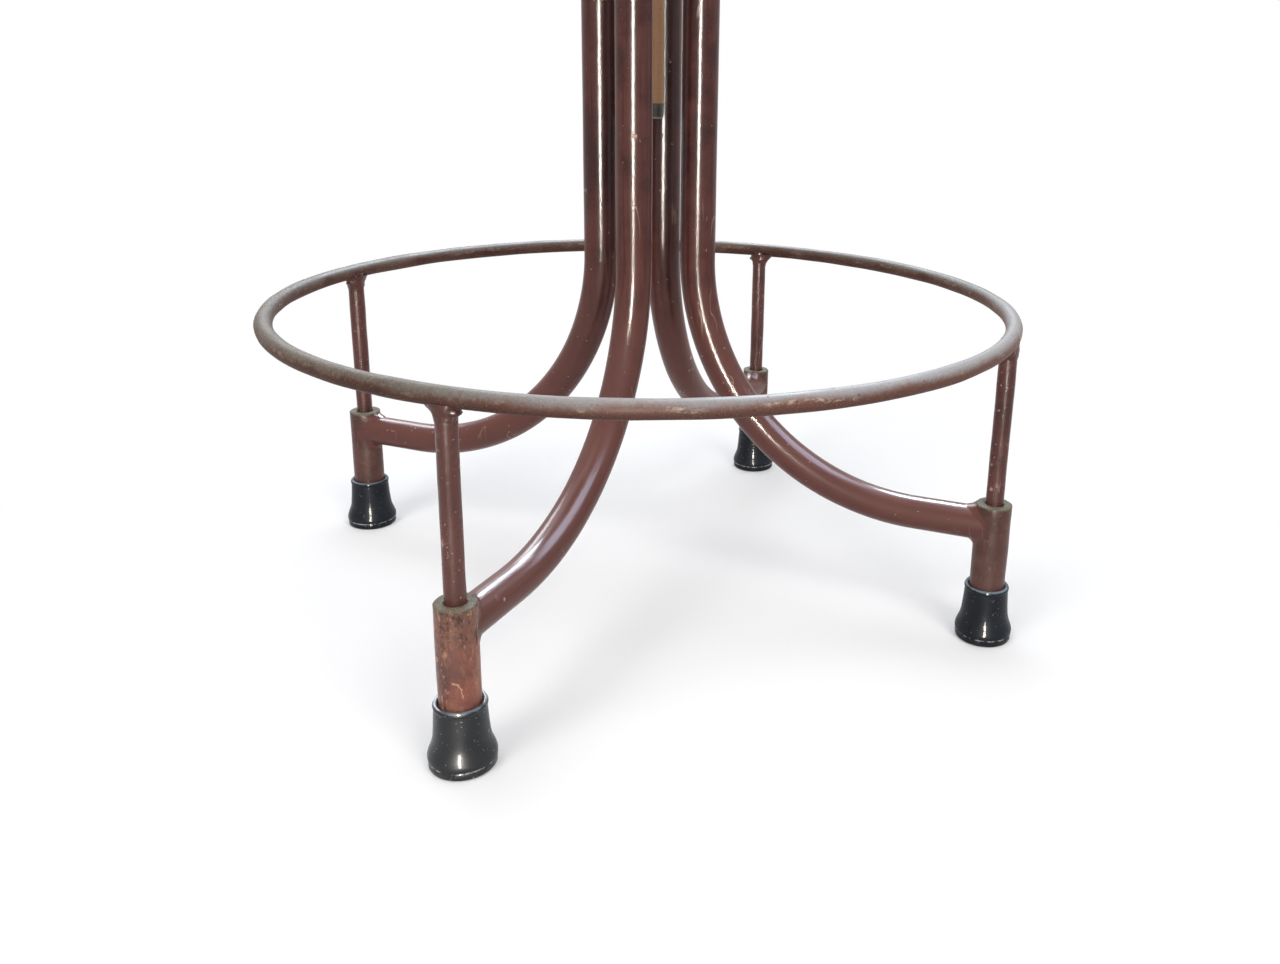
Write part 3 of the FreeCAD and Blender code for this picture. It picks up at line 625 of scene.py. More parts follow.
def metal_material(name, tone_a, tone_b, rough):
    """Machined metal with fine tool marks, stains and small dents."""
    s = Shader(name)
    cloud = s.noise(90.0, 4.0, 0.6)
    marks = s.noise(2200.0, 2.0, stretch=(0.1, 1, 1))
    stain = s.spread(s.noise(210.0, 5.0, 0.65), 0.52, 0.72)
    tone = s.blend(s.spread(cloud, 0.35, 0.65), tone_a, tone_b)
    tone = s.blend(stain, tone, on_screen(84, 62, 46), 0.55)
    gloss = s.plus(s.spread(cloud, 0.3, 0.7, rough * 0.8, rough * 1.3), s.times(stain, 0.2))
    return s.done(base=tone, metal=0.85, rough=gloss,
                  normal=s.bump(s.total((marks, 0.4), (stain, -0.3)), 0.00012))


def wood_material(finish, stave, dish_radius):
    """Edge-glued staves with grain, pores, dark joints and a worn dish."""
    s = Shader("seat_wood")
    across = s.maths("DIVIDE", s.axis("Y"), stave)
    index = s.maths("FLOOR", across)
    within = s.minus(across, index)
    joint = s.spread(s.maths("ABSOLUTE", s.minus(within, 0.5)), 0.485, 0.498)
    chance = s.node("ShaderNodeTexWhiteNoise", {"W": index}, noise_dimensions="1D").outputs["Value"]
    slide = s.node("ShaderNodeCombineXYZ", {0: s.times(chance, 9.0), 2: chance}).outputs[0]
    place = s.vector("ADD", {0: s.place, 1: slide})
    grain = s.noise(46.0, 5.0, 0.6, 0.7, place, stretch=(0.09, 1.0, 1.0))
    rings = s.maths("FRACT", s.times(grain, 9.0))
    bands = s.spread(s.maths("ABSOLUTE", s.minus(rings, 0.5)), 0.1, 0.5)
    pores = s.spread(s.noise(1500.0, 2.0, place=place, stretch=(0.05, 1, 1)), 0.6, 0.68)
    tone = s.blend(bands, on_screen(150, 100, 60), finish.wood)
    tone = s.blend(s.between(chance, 0.0, 0.4), tone, on_screen(128, 80, 46))
    tone = s.blend(pores, tone, finish.wood_dark, 0.6)
    radius = s.plus(s.from_axis(), s.times(s.noise(24.0, 4.0), 0.03))
    dirt = s.spread(radius, dish_radius * 0.8, dish_radius * 1.18)
    tone = s.blend(dirt, tone, finish.wood_dark, 0.62)
    stains = s.spread(s.noise(19.0, 5.0, 0.65), 0.56, 0.72)
    tone = s.blend(stains, tone, on_screen(72, 44, 28), 0.35)
    hurt = s.most(s.spots(70.0, 0.12, 0.3, 3.0),
                  s.scratches(22.0, (1, 1, 1), (0.0, 0.0, 0.7), 0.004, 0.4, 1.0))
    tone = s.blend(hurt, tone, on_screen(60, 36, 24), 0.5)
    tone = s.blend(joint, tone, on_screen(40, 24, 16), 0.8)
    relief = s.total((bands, 0.25), (pores, -0.4), (s.most(joint, hurt), -1.0))
    return s.done(base=tone, rough=s.spread(s.noise(30.0, 4.0), 0.3, 0.7, 0.44, 0.6), specular=0.15,
                  coat=0.05, coat_rough=0.45, normal=s.bump(relief, 0.0003))


def pale_floor_material():
    """Pale floor that takes the stool's shadow near it and is plain white further off."""
    s = Shader("floor")
    far = s.spread(s.vector("LENGTH", {0: s.place}, "Value"), 0.3, 0.6)
    s.done(base=s.blend(far, (0.77, 0.77, 0.78), (0.0, 0.0, 0.0)), rough=0.9, specular=0.0)
    s.feed(s.surface.inputs["Emission Color"], (1.0, 1.0, 1.0))
    s.feed(s.surface.inputs["Emission Strength"], s.times(s.seen(), s.plus(s.times(far, 0.9), 0.1)))
    return s.material


def material_named(name):
    found = bpy.data.materials.get("finish_" + name)
    if found is None:
        raise RuntimeError("the finishes are made first: there is no material " + name)
    return found


class STOOL_OT_finishes(bpy.types.Operator):
    """Makes the paint, metal, rubber and wood finishes"""

    bl_idname = "stool.finishes"
    bl_label = "Finishes"

    def execute(self, context):
        finish = context.scene.stool_finish
        sizes = context.scene.stool_sizes
        paint_material("leg_paint", finish)
        paint_material("post_paint", finish, gloss=0.24, coat=0.5, warm=0.2, chips=0.5, grime=0.7,
                       crust=1.0, seed=3.0)
        paint_material("hub_paint", finish, gloss=0.36, warm=0.5, chips=0.3, grime=0.9, seed=6.0)
        ring_material(middle("foot_ring"), sizes.ring_rod)
        socket_material(finish, extent("foot_socket_front_left")[1], LONG_CRACK)
        rubber_material(finish, extent("rubber_foot_front_left")[1])
        stem_material(finish)
        plug_material(finish, extent("stem_end_plug")[0])
        metal_material("steel", finish.steel, on_screen(112, 106, 100), 0.34)
        metal_material("knob_metal", on_screen(120, 96, 84), finish.steel, 0.3)
        metal_material("bronze", finish.bronze, on_screen(120, 86, 52), 0.36)
        wood_material(finish, sizes.stave_width, DISH_RADIUS)
        return {"FINISHED"}


# Frame pieces

def leg_level(sizes):
    """Height of a leg's axis where it runs level to its socket."""
    return extent("leg_back_right")[0] + sizes.leg_end_radius


def leg_form(sizes, top, level):
    """A tube along +X: straight, bent a quarter turn as it tapers, then level."""
    top_reach, foot_reach = leg_reaches(sizes)
    bend_top = level + sizes.leg_bend
    bend_end = top_reach + sizes.leg_bend
    bm = bmesh.new()
    place = Matrix.Translation((top_reach, 0, top))
    bmesh.ops.create_circle(bm, cap_ends=False, segments=48, radius=sizes.leg_radius, matrix=place)
    steps = 20
    edges, verts = draw_out(bm, bm.edges[:], (0, 0, (bend_top - top) / steps), steps)
    last = bmesh.ops.spin(bm, geom=edges + verts, cent=(bend_end, 0, bend_top), axis=(0, 1, 0),
                          dvec=(0, 0, 0), angle=-math.pi / 2, steps=56, use_merge=False,
                          use_normal_flip=False, use_duplicate=False)["geom_last"]
    edges = [g for g in last if isinstance(g, bmesh.types.BMEdge)]
    steps = 8
    draw_out(bm, edges, ((foot_reach - bend_end) / steps, 0, 0), steps)
    end_share = sizes.leg_end_radius / sizes.leg_radius
    for v in bm.verts:
        centre, share = leg_centre(v.co, sizes.leg_bend, bend_top, bend_end, level)
        v.co = centre + (v.co - centre) * (1 + (end_share - 1) * share)
    bmesh.ops.remove_doubles(bm, verts=bm.verts, dist=1e-7)
    return bm


def leg_centre(point, radius, bend_top, bend_end, level):
    """The nearest point of the leg's axis, and the share of the bend that is behind it."""
    if point.z >= bend_top - 1e-6:
        return Vector((bend_end - radius, 0, point.z)), 0.0
    if point.x >= bend_end - 1e-6:
        return Vector((point.x, 0, level)), 1.0
    turn = math.atan2(bend_top - point.z, bend_end - point.x)
    centre = Vector((bend_end - math.cos(turn) * radius, 0, bend_top - math.sin(turn) * radius))
    return centre, turn / (math.pi / 2)


class STOOL_OT_legs(bpy.types.Operator):
    """Bends the four tube legs"""

    bl_idname = "stool.legs"
    bl_label = "Legs"

    def execute(self, context):
        sizes = context.scene.stool_sizes
        level = leg_level(sizes)
        for number, (name, azimuth) in enumerate(LEGS.items()):
            bm = leg_form(sizes, extent("leg_" + name)[1], level)
            moved(bm, in_leg_plane(sizes, azimuth))
            rough_up(bm, 0.045, 0.00014, number)
            finish_piece(bm, name + "_leg", "frame", "leg_paint", "leg_" + name)
        return {"FINISHED"}


class STOOL_OT_sockets(bpy.types.Operator):
    """Turns the four foot sockets"""

    bl_idname = "stool.sockets"
    bl_label = "Foot sockets"

    def execute(self, context):
        sizes = context.scene.stool_sizes
        hole = sizes.post_radius + 0.0004
        for number, (name, azimuth) in enumerate(LEGS.items()):
            node = "foot_socket_" + name
            low, high = extent(node)[:2]
            side = straight_side(sizes.socket_radius, low, high, 14)
            profile = [(0, low)] + side + [(hole, high), (hole, high - 0.004), (0, high - 0.004)]
            corner = len(side)
            bm = lathe(profile, 72, [(1, 0.0008), (corner, 0.0009), (corner + 1, 0.0005)], 3)
            rough_up(bm, 0.006, 0.00035, number + 5, lambda p: max(0.0, 1 - (high - p.z) / 0.006))
            rough_up(bm, 0.02, 0.00025, number + 9)
            moved(bm, to_leg(azimuth, sizes.foot_circle))
            finish_piece(bm, name + "_socket", "frame", "foot_paint", node)
        return {"FINISHED"}


def braze_form(sizes, level, rim, seed):
    """Filler metal at the end of a leg: hollow below, thin at the sides, a ramp up to the rim."""
    bm = bmesh.new()
    place = Matrix.Translation((0, 0, level)) @ Matrix.Rotation(math.pi / 2, 4, "Y")
    bmesh.ops.create_circle(bm, cap_ends=False, segments=56, radius=1.0, matrix=place)
    steps = 9
    draw_out(bm, bm.edges[:], (1.0 / steps, 0, 0), steps)
    for v in bm.verts:
        share = max(0.0, v.co.x)
        outward = Vector((0, v.co.y, v.co.z - level)).normalized()
        below = max(0.0, -outward.z)
        above = max(0.0, outward.z)
        lump = noise.noise(outward * 1.7 + Vector((seed * 3.7, 0, share)))
        ramp = rim - level - sizes.leg_end_radius
        rise = 0.0009 + 0.0056 * below ** 1.6 + ramp * above ** 1.5
        run = 0.0030 + 0.0048 * below ** 1.3 + 0.0068 * above ** 1.5 * (1 + 0.7 * lump)
        hollow = 1 - math.sqrt(max(0.0, 1 - share * share))
        curve = hollow + (share ** 1.8 - hollow) * above
        radius = sizes.leg_end_radius - 0.0002 + rise * curve
        side = min(abs(radius * outward.y), sizes.socket_radius * 0.995)
        wall = leg_reaches(sizes)[1] - math.sqrt(sizes.socket_radius ** 2 - side ** 2) + 0.0006
        v.co = Vector((wall - run * (1 - share), radius * outward.y, level + radius * outward.z))
    return bm


class STOOL_OT_brazes(bpy.types.Operator):
    """Lays the filler metal between legs and sockets, and under the hub"""

    bl_idname = "stool.brazes"
    bl_label = "Brazed joints"

    def execute(self, context):
        sizes = context.scene.stool_sizes
        level = leg_level(sizes)
        upper = []
        hub_low = extent("top_hub")[0]
        inner = sizes.leg_radius - 0.0002
        for number, (name, azimuth) in enumerate(LEGS.items()):
            rim = extent("foot_socket_" + name)[1] - 0.0006
            fillet = braze_form(sizes, level, rim, number)
            rough_up(fillet, 0.004, 0.00045, number)
            moved(fillet, in_leg_plane(sizes, azimuth))
            finish_piece(fillet, name + "_leg_joint", "frame", "leg_paint", "leg_braze_" + name)
            bead = lathe([(inner, hub_low - 0.0034), (inner + 0.0009, hub_low - 0.0014),
                          (inner + 0.0032, hub_low + 0.0002)], 56)
            rough_up(bead, 0.005, 0.0006, number + 20)
            moved(bead, Matrix.Translation((leg_reaches(sizes)[0], 0, 0)))
            upper.append(moved(bead, in_leg_plane(sizes, azimuth)))
        finish_piece(joined(upper), "hub_braze_metal", "frame", "hub_paint", "hub_brazes")
        return {"FINISHED"}


class STOOL_OT_ring(bpy.types.Operator):
    """Bends the foot ring and sets its four posts and their welds"""

    bl_idname = "stool.ring"
    bl_label = "Foot ring"

    def execute(self, context):
        sizes = context.scene.stool_sizes
        height = middle("foot_ring")
        self.make_ring(sizes, height)
        for number, (name, azimuth) in enumerate(LEGS.items()):
            self.make_post(sizes, name, azimuth, height, number)
            bead = self.weld_form(sizes, height, number, azimuth)
            finish_piece(bead, name + "_ring_joint", "frame", "post_paint", "ring_weld_" + name)
        return {"FINISHED"}

    def make_ring(self, sizes, height):
        bm = bmesh.new()
        turn = Matrix.Rotation(math.pi / 2, 4, "X")
        place = Matrix.Translation((sizes.ring_radius, 0, height)) @ turn
        bmesh.ops.create_circle(bm, cap_ends=False, segments=28, radius=sizes.ring_rod, matrix=place)
        spin_full(bm, 300)
        rough_up(bm, 0.03, 0.00028, 11)
        finish_piece(bm, "foot_ring_rod", "frame", "ring_metal", "foot_ring")

    def make_post(self, sizes, name, azimuth, height, number):
        node = "ring_post_" + name
        low, top = extent(node)[0], height - 0.001
        bm = lathe([(0, low)] + straight_side(sizes.post_radius, low, top, 18) + [(0, top)], 48)
        rough_up(bm, 0.02, 0.0003, number + 30)
        moved(bm, to_leg(azimuth, sizes.foot_circle))
        finish_piece(bm, name + "_ring_post", "frame", "post_paint", node)

    def weld_form(self, sizes, height, number, azimuth):
        """A bead that flares along the ring, far on one side and lumpy on the other."""
        inner = sizes.post_radius - 0.0002
        low = height - sizes.ring_rod - 0.0095
        top = height - 0.0036
        bm = lathe(straight_side(inner, low, top, 14) + [(inner - 0.002, top)], 56)
        for v in bm.verts:
            share = max(0.0, v.co.z - low) / (top - low)
            along = v.co.y / max(inner, math.hypot(v.co.x, v.co.y))
            reach = 0.0078 if along < 0 else 0.0028
            lump = noise.noise(Vector((number * 9.1, along * 1.5, share * 2)))
            wall = 0.0007 * share ** 0.5
            v.co.x *= 1 + wall / inner
            v.co.y *= 1 + wall / inner
            v.co.y += along * abs(along) * reach * (share ** 1.7) * (1 + 0.5 * lump)
            v.co.y += max(0.0, along) ** 3 * 0.0022 * math.exp(-((share - 0.56) / 0.13) ** 2)
        rough_up(bm, 0.0035, 0.0006, number + 40)
        return moved(bm, to_leg(azimuth, sizes.foot_circle))


class STOOL_OT_feet(bpy.types.Operator):
    """Moulds the four rubber feet"""

    bl_idname = "stool.feet"
    bl_label = "Rubber feet"

    def execute(self, context):
        sizes = context.scene.stool_sizes
        bore = sizes.socket_radius + 0.0002
        for number, (name, azimuth) in enumerate(LEGS.items()):
            node = "rubber_foot_" + name
            top, flare = extent(node)[1:]
            profile = [
                (0, 0.0012), (0.0128, 0.0012), (0.0138, 0), (flare - 0.0014, 0),
                (flare - 0.0005, 0.0012), (flare - 0.0004, 0.0048), (flare - 0.0008, 0.0053),
                (flare - 0.0001, 0.0059), (flare, 0.0080), (flare - 0.0007, 0.0106),
                (flare - 0.0020, 0.0136), (flare - 0.0029, 0.0163), (flare - 0.0036, 0.0196),
                (flare - 0.0042, 0.0260), (flare - 0.0047, 0.0340), (flare - 0.0050, top - 0.0032),
                (flare - 0.0046, top - 0.0028), (flare - 0.0044, top - 0.0016),
                (flare - 0.0052, top - 0.0002), (flare - 0.0064, top), (bore + 0.0006, top - 0.0003),
                (bore, top - 0.0012), (bore, top - 0.01), (0, top - 0.01),
            ]
            bm = lathe(profile, 96, [(2, 0.0004), (3, 0.0012), (9, 0.0016), (10, 0.0016),
                                     (11, 0.0012)], 3)
            rough_up(bm, 0.015, 0.00018, number + 50)
            moved(bm, to_leg(azimuth, sizes.foot_circle))
            finish_piece(bm, name + "_rubber_foot", "frame", "rubber", node)
        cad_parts["foot_washers"].data.materials[0] = material_named("steel")
        return {"FINISHED"}


# Hub and stem

class STOOL_OT_hub(bpy.types.Operator):
    """Casts the hub and fits its guide bush"""

    bl_idname = "stool.hub"
    bl_label = "Hub"

    def execute(self, context):
        bm = cast_copy("top_hub", 0.0011, 6)
        rough_up(bm, 0.012, 0.0004, 60)
        rough_up(bm, 0.0025, 0.00012, 61)
        self.clear_clamp_bore(bm)
        finish_piece(bm, "cast_hub", "frame", "hub_paint", "top_hub")
        low, high, outer = extent("guide_bush")
        bore = extent("seat_stem")[2] + 0.00005
        neck, flange = outer - 0.0036, high - 0.002
        bm = lathe([(bore, low), (neck, low), (neck, flange), (outer, flange), (outer, high),
                    (bore, high), (bore, low)], 64, [(3, 0.0004), (4, 0.0006), (5, 0.0006)], 3)
        finish_piece(bm, "bronze_guide_bush", "frame", "bronze", "guide_bush")
        return {"FINISHED"}

    def clear_clamp_bore(self, bm):
        """Pushes the walls of the clamp's bore outwards, so that the pad moves freely in it."""
        low, high = extent("clamp_pad")[:2]
        height = middle("clamp_pad")
        radius = (high - low) / 2 + CLAMP_BORE_CLEARANCE
        for v in bm.verts:
            off = Vector((v.co.x, 0, v.co.z - height))
            if v.co.y < 0 and 0 < off.length < radius:
                off.length = radius
                v.co = Vector((off.x, v.co.y, off.z + height))


class STOOL_OT_stem(bpy.types.Operator):
    """Draws the stem tube and turns its plug, pivot, washers and screw"""

    bl_idname = "stool.stem"
    bl_label = "Stem"

    def execute(self, context):
        low, high, radius = extent("seat_stem")
        bore = radius - 0.0025
        side = straight_side(radius, low, high, 24)
        bm = lathe([(bore, low)] + side + [(bore, high), (bore, low)], 64)
        finish_piece(bm, "stem_tube", "stem", "stem_metal", "seat_stem")
        self.make_plug(low, radius, bore - 0.0001)
        self.make_pivot(high, bore - 0.0001)
        self.make_washer("thrust_washer", "bronze_thrust_washer", "bronze", 0.00805, 0.0005)
        self.make_washer("retainer_washer", "steel_retainer_washer", "steel", 0.00405, 0.0004)
        self.make_screw()
        return {"FINISHED"}

    def make_plug(self, shoulder, radius, inner):
        low, high = extent("stem_end_plug")[:2]
        bm = lathe([(0, low + 0.0008), (0.003, low), (radius - 0.001, low), (radius, low + 0.001),
                    (radius, shoulder - 0.0003), (radius - 0.0003, shoulder), (inner, shoulder),
                    (inner, high), (0, high)], 64, [(2, 0.0003), (3, 0.0003)], 2)
        finish_piece(bm, "stem_plug", "stem", "plug_metal", "stem_end_plug")

    def make_pivot(self, stem_top, inner):
        low, high, flange = extent("stem_top_pivot")
        shoulder = extent("thrust_washer")[0]
        pin = 0.008
        bm = lathe([(0, low), (inner, low), (inner, stem_top), (flange, stem_top),
                    (flange, shoulder), (pin, shoulder), (pin, high), (0, high)], 64,
                   [(3, 0.0006), (4, 0.0006), (6, 0.0004)], 3)
        finish_piece(bm, "turned_pivot", "stem", "steel", "stem_top_pivot")

    def make_washer(self, node, name, finish, bore, edge):
        low, high, outer = extent(node)
        bm = lathe([(bore, low), (outer, low), (outer, high), (bore, high), (bore, low)], 56,
                   [(1, edge), (2, edge)], 3)
        finish_piece(bm, name, "stem", finish, node)

    def make_screw(self):
        low, high, corner = extent("retainer_screw")
        head_base = extent("retainer_washer")[1]
        bm = bmesh.new()
        turn = Matrix.Rotation(math.radians(30), 4, "Z")
        bmesh.ops.create_cone(bm, cap_ends=True, segments=6, radius1=corner, radius2=corner,
                              depth=high - head_base,
                              matrix=Matrix.Translation((0, 0, (head_base + high) / 2)) @ turn)
        bmesh.ops.bevel(bm, geom=bm.edges[:], offset=0.0005, offset_type="OFFSET", segments=3,
                        profile=0.5, affect="EDGES", clamp_overlap=True, material=-1)
        top = head_base + 0.0005
        shank = lathe([(0, low), (0.004, low), (0.004, top), (0, top)], 32, [(1, 0.0005)], 2)
        finish_piece(joined([bm, shank]), "hexagon_screw", "stem", "steel", "retainer_screw")


# Seat

class STOOL_OT_seat(bpy.types.Operator):
    """Casts the seat flange, turns the board and drives its screws"""

    bl_idname = "stool.seat"
    bl_label = "Seat"

    def execute(self, context):
        bm = cast_copy("seat_flange", 0.0009, 4)
        rough_up(bm, 0.012, 0.0003, 70)
        finish_piece(bm, "cast_seat_flange", "seat", "hub_paint", "seat_flange")
        self.make_board()
        self.make_screws()
        return {"FINISHED"}

    def make_board(self):
        low, high, radius = extent("seat_board")
        depth, pocket, pocket_top = 0.006, 0.019, low + 0.011
        steps = 16
        floor = [(DISH_RADIUS * i / steps, high - depth * (1 - (i / steps) ** 2)) for i in range(steps)]
        profile = floor + [(DISH_RADIUS + 0.004, high), (radius, high), (radius, low),
                           (pocket, low), (pocket, pocket_top), (0, pocket_top)]
        edge = len(floor)
        bm = lathe(profile, 128, [(edge, 0.004), (edge + 1, 0.010), (edge + 2, 0.005),
                                  (edge + 3, 0.001)], 7)
        rough_up(bm, 0.05, 0.0006, 80)
        finish_piece(bm, "wooden_seat", "seat", "seat_wood", "seat_board")

    def make_screws(self):
        low, high = extent("seat_screws")[:2]
        circle, head, shank, under = 0.058, 0.0055, 0.00275, low + 0.0032
        parts = []
        for number in range(4):
            screw = lathe([(0, low), (0.0022, low + 0.0002), (0.0042, low + 0.0011),
                           (head, under), (shank, under), (shank, high - 0.006), (0, high)],
                          32, [(1, 0.0008), (2, 0.0008)], 3)
            parts.append(moved(screw, to_leg(45 + 90 * number, circle)))
        finish_piece(joined(parts), "wood_screws", "seat", "steel", "seat_screws")


# Clamp

def along_clamp(bm):
    """Lays a form that stands on the origin along the clamp's axis, which runs to -Y."""
    turn = Matrix.Rotation(math.radians(90), 4, "X")
    return moved(bm, Matrix.Translation((0, 0, middle("clamp_screw"))) @ turn)


class STOOL_OT_clamp(bpy.types.Operator):
    """Threads the clamp screw and fits its cross bar and knobs"""

    bl_idname = "stool.clamp"
    bl_label = "Clamp"

    def execute(self, context):
        sizes = context.scene.stool_sizes
        low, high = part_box("clamp_screw")
        head = (high.x - low.x) / 2
        tip, end = -high.y, -low.y
        bar_low, bar_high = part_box("clamp_bar")
        reach = -(bar_low.y + bar_high.y) / 2
        bar_radius = (bar_high.z - bar_low.z) / 2
        self.make_screw(sizes.clamp_pitch, tip, end, head, reach)
        self.make_bar(bar_high.x, bar_radius, reach)
        self.make_knobs(reach, bar_radius)
        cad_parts["clamp_pad"].data.materials[0] = material_named("bronze")
        return {"FINISHED"}

    def make_screw(self, pitch, tip, end, head, reach):
        crest = 0.00595
        start = 2 * reach - end
        root = crest - 0.6 * pitch
        turns = math.ceil((start - tip - 0.002) / pitch)
        thread = bmesh.new()
        wire(thread, [(root, tip), (root, tip + 0.15 * pitch), (crest, tip + 0.44 * pitch),
                      (crest, tip + 0.56 * pitch), (root, tip + 0.85 * pitch), (root, tip + pitch)])
        per_turn = 32
        bmesh.ops.spin(thread, geom=thread.verts[:] + thread.edges[:], cent=(0, 0, 0), axis=(0, 0, -1),
                       dvec=(0, 0, pitch / per_turn), angle=math.tau * turns,
                       steps=per_turn * turns, use_merge=False, use_normal_flip=False,
                       use_duplicate=False)
        bmesh.ops.remove_doubles(thread, verts=thread.verts, dist=1e-6)
        core = root + 0.0002
        body = lathe([(0, tip), (core, tip), (core, start - 0.001), (head - 0.002, start - 0.001),
                      (head, start + 0.001), (head, end), (0, end)], 56,
                     [(3, 0.0006), (4, 0.0006), (5, 0.002)], 4)
        screw = along_clamp(joined([thread, body]))
        finish_piece(screw, "clamp_spindle", "clamp_screw", "steel", "clamp_screw")

    def make_bar(self, half, radius, reach):
        bm = lathe([(0, -half), (radius, -half), (radius, half), (0, half)], 40,
                   [(1, 0.0006), (2, 0.0006)], 3)
        moved(bm, Matrix.Translation((0, 0, reach)) @ Matrix.Rotation(math.pi / 2, 4, "Y"))
        finish_piece(along_clamp(bm), "cross_bar", "clamp_screw", "steel", "clamp_bar")

    def make_knobs(self, reach, bar_radius):
        low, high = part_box("clamp_knobs")
        radius = (high.z - low.z) / 2
        edge, outer, inner = bar_radius + 0.0016, -radius * 1.02, -radius * 0.7
        knobs = []
        for side in (-1, 1):
            ball = bmesh.new()
            bmesh.ops.create_uvsphere(ball, u_segments=40, v_segments=28, radius=radius)
            collar = lathe([(bar_radius, outer), (edge, outer), (edge, inner), (bar_radius, inner)],
                           40, [(1, 0.0005)], 3)
            knob = joined([ball, collar])
            shift = Matrix.Translation((0, 0, reach)) @ Matrix.Rotation(side * math.pi / 2, 4, "Y")
            knobs.append(moved(knob, shift @ Matrix.Translation((0, 0, high.x - radius))))
        finish_piece(along_clamp(joined(knobs)), "ball_ends", "clamp_screw", "knob_metal", "clamp_knobs")


# Stage

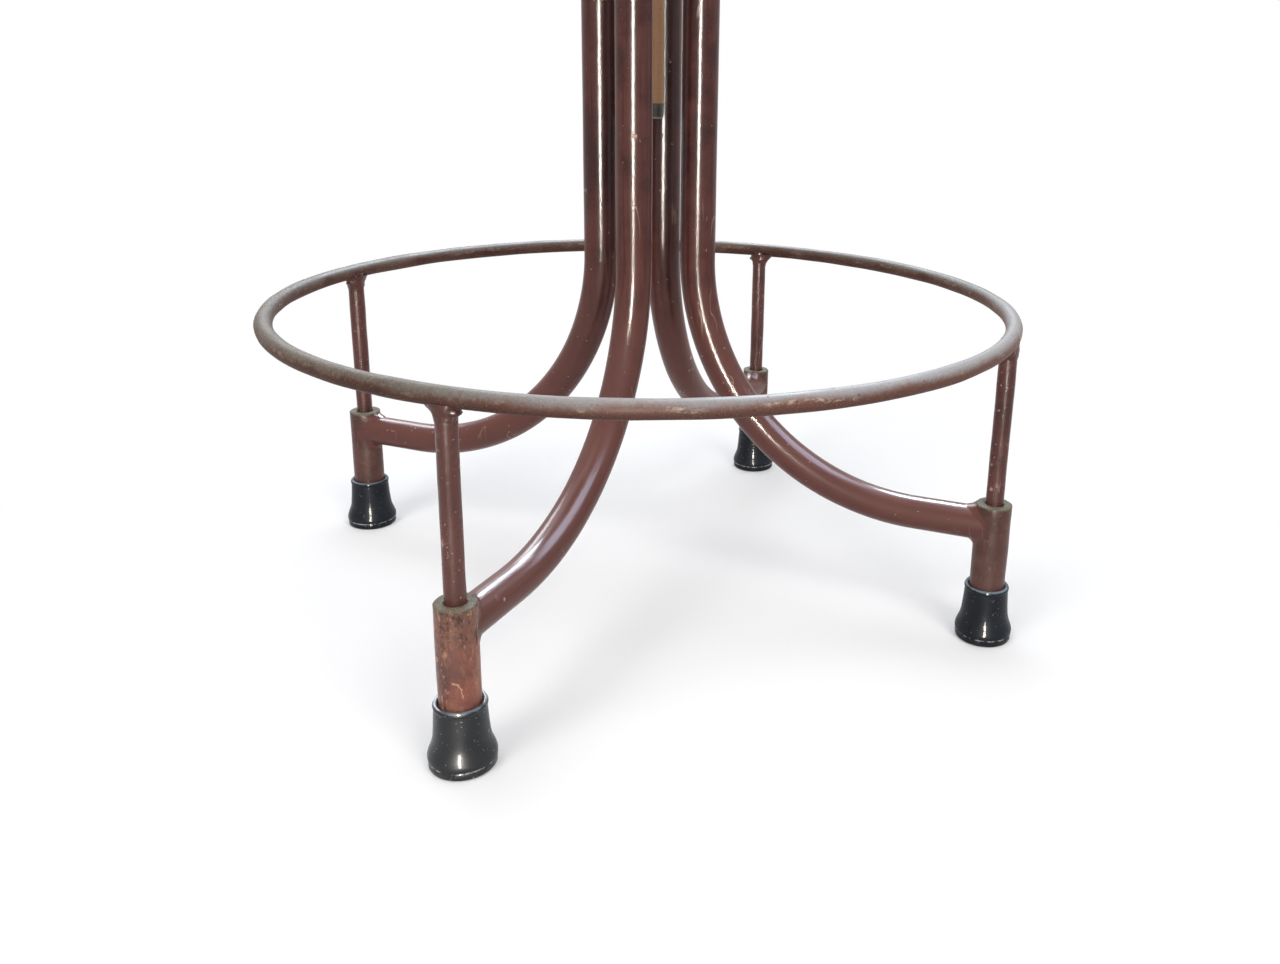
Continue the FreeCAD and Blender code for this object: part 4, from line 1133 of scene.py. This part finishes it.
class STOOL_OT_stage(bpy.types.Operator):
    """Sets the floor, the lamps, the world and the camera"""

    bl_idname = "stool.stage"
    bl_label = "Stage"

    def execute(self, context):
        scene = context.scene
        stage = scene.stool_stage
        self.make_floor()
        self.make_world(scene, stage.sky)
        self.make_lamps(stage)
        self.make_camera(scene, stage)
        scene.view_settings.view_transform = "Standard"
        return {"FINISHED"}

    def make_floor(self):
        bm = bmesh.new()
        bmesh.ops.create_circle(bm, cap_ends=True, segments=96, radius=14.0)
        mesh = bpy.data.meshes.new("floor")
        bm.to_mesh(mesh)
        bm.free()
        mesh.materials.append(pale_floor_material())
        floor = bpy.data.objects.new("floor", mesh)
        bpy.context.scene.collection.objects.link(floor)

    def make_world(self, scene, strength):
        world = bpy.data.worlds.new("studio")
        scene.world = world
        world.use_nodes = True
        nodes = Nodes(world.node_tree)
        level = nodes.node("ShaderNodeMapRange", {"Value": nodes.seen(), "To Min": strength,
                                                  "To Max": 1.0}).outputs[0]
        background = nodes.node("ShaderNodeBackground", {"Color": (1, 1, 1), "Strength": level})
        nodes.node("ShaderNodeOutputWorld", {"Surface": background.outputs[0]})

    def make_lamps(self, stage):
        """The broad lamps light the surfaces, and the others give highlights only."""
        facing = Vector((math.sin(stage.heading), math.cos(stage.heading), 0))
        side = Vector((facing.y, -facing.x, 0))
        strip = -facing * 2.1 + side * 0.06
        self.make_lamp("top_lamp", (0.1, 0.5, 2.3), 0.2, (2.2, 2.2), stage.top_power,
                       (0.90, 0.95, 1.0))
        self.make_lamp("strip_lamp", (strip.x, strip.y, 0.4), 0.37, (0.2, 0.8), stage.strip_power,
                       (1.0, 0.94, 0.84), diffuse=False)
        self.make_lamp("sheen_lamp", (0.85, 1.35, 1.9), 0.1, (1.0, 0.6), stage.sheen_power,
                       (0.76, 0.88, 1.0), diffuse=False)
        self.make_lamp("cool_lamp", (1.2, -0.45, 1.9), 0.1, (1.6, 1.3), stage.cool_power,
                       (0.66, 0.78, 1.0), diffuse=False)
        self.make_lamp("back_lamp", (-0.25, 2.4, 1.9), 0.1, (1.4, 0.7), stage.back_power,
                       (0.88, 0.94, 1.0), diffuse=False)
        for name, across in (("key_left", -1.0), ("key_right", 1.0)):
            key = -facing * 1.45 + side * across
            self.make_lamp(name, (key.x, key.y, 1.6), 0.2, (0.9, 0.9), stage.key_power,
                           (1.0, 0.98, 0.95), glossy=False)

    def make_lamp(self, name, place, aim, size, power, tint, diffuse=True, glossy=True):
        """An area lamp that shines at a height on the stool's axis."""
        data = bpy.data.lights.new(name, "AREA")
        data.shape = "RECTANGLE"
        data.size, data.size_y = size
        data.energy = power
        data.color = tint
        lamp = bpy.data.objects.new(name, data)
        lamp.location = place
        lamp.rotation_euler = (Vector((0, 0, aim)) - Vector(place)).to_track_quat("-Z", "Y").to_euler()
        lamp.visible_diffuse = diffuse
        lamp.visible_glossy = glossy
        bpy.context.scene.collection.objects.link(lamp)

    def make_camera(self, scene, stage):
        width, height = 1280, 964
        data = bpy.data.cameras.new("camera")
        data.sensor_width = 36.0
        data.lens = stage.focal
        data.shift_x = (width / 2 - stage.centre_x) / width
        data.shift_y = (stage.centre_y - height / 2) / width
        data.clip_start, data.clip_end = 0.05, 60.0
        camera = bpy.data.objects.new("camera", data)
        camera.location = stage.camera_place
        turn = Matrix.Rotation(-stage.heading, 4, "Z")
        tilt = Matrix.Rotation(math.pi / 2 - stage.pitch, 4, "X")
        roll = Matrix.Rotation(stage.roll, 4, "Z")
        camera.rotation_euler = (turn @ tilt @ roll).to_euler()
        scene.collection.objects.link(camera)
        scene.camera = camera


class STOOL_PT_panel(bpy.types.Panel):
    """Lists the sizes, the colours and the stage, and the steps that make the stool"""

    bl_label = "Workshop Stool"
    bl_idname = "STOOL_PT_panel"
    bl_space_type = "VIEW_3D"
    bl_region_type = "UI"
    bl_category = "Stool"

    def draw(self, context):
        scene = context.scene
        for group in (scene.stool_sizes, scene.stool_finish, scene.stool_stage):
            box = self.layout.box()
            for name in group.__annotations__:
                box.prop(group, name)
        for operator in OPERATORS:
            self.layout.operator(operator.bl_idname)


GROUPS = (StoolSizes, StoolFinish, StoolStage)
OPERATORS = (STOOL_OT_finishes, STOOL_OT_legs, STOOL_OT_sockets, STOOL_OT_brazes, STOOL_OT_ring,
             STOOL_OT_feet, STOOL_OT_hub, STOOL_OT_stem, STOOL_OT_seat, STOOL_OT_clamp,
             STOOL_OT_stage)
CLASSES = GROUPS + OPERATORS + (STOOL_PT_panel,)


def register():
    for cls in CLASSES:
        bpy.utils.register_class(cls)
    bpy.types.Scene.stool_sizes = PointerProperty(type=StoolSizes)
    bpy.types.Scene.stool_finish = PointerProperty(type=StoolFinish)
    bpy.types.Scene.stool_stage = PointerProperty(type=StoolStage)


def unregister():
    del bpy.types.Scene.stool_stage
    del bpy.types.Scene.stool_finish
    del bpy.types.Scene.stool_sizes
    for cls in reversed(CLASSES):
        bpy.utils.unregister_class(cls)


def main():
    register()
    for operator in (bpy.ops.stool.finishes, bpy.ops.stool.legs, bpy.ops.stool.sockets,
                     bpy.ops.stool.brazes, bpy.ops.stool.ring, bpy.ops.stool.feet,
                     bpy.ops.stool.hub, bpy.ops.stool.stem, bpy.ops.stool.seat,
                     bpy.ops.stool.clamp, bpy.ops.stool.stage):
        operator()


if __name__ == "__main__":
    main()
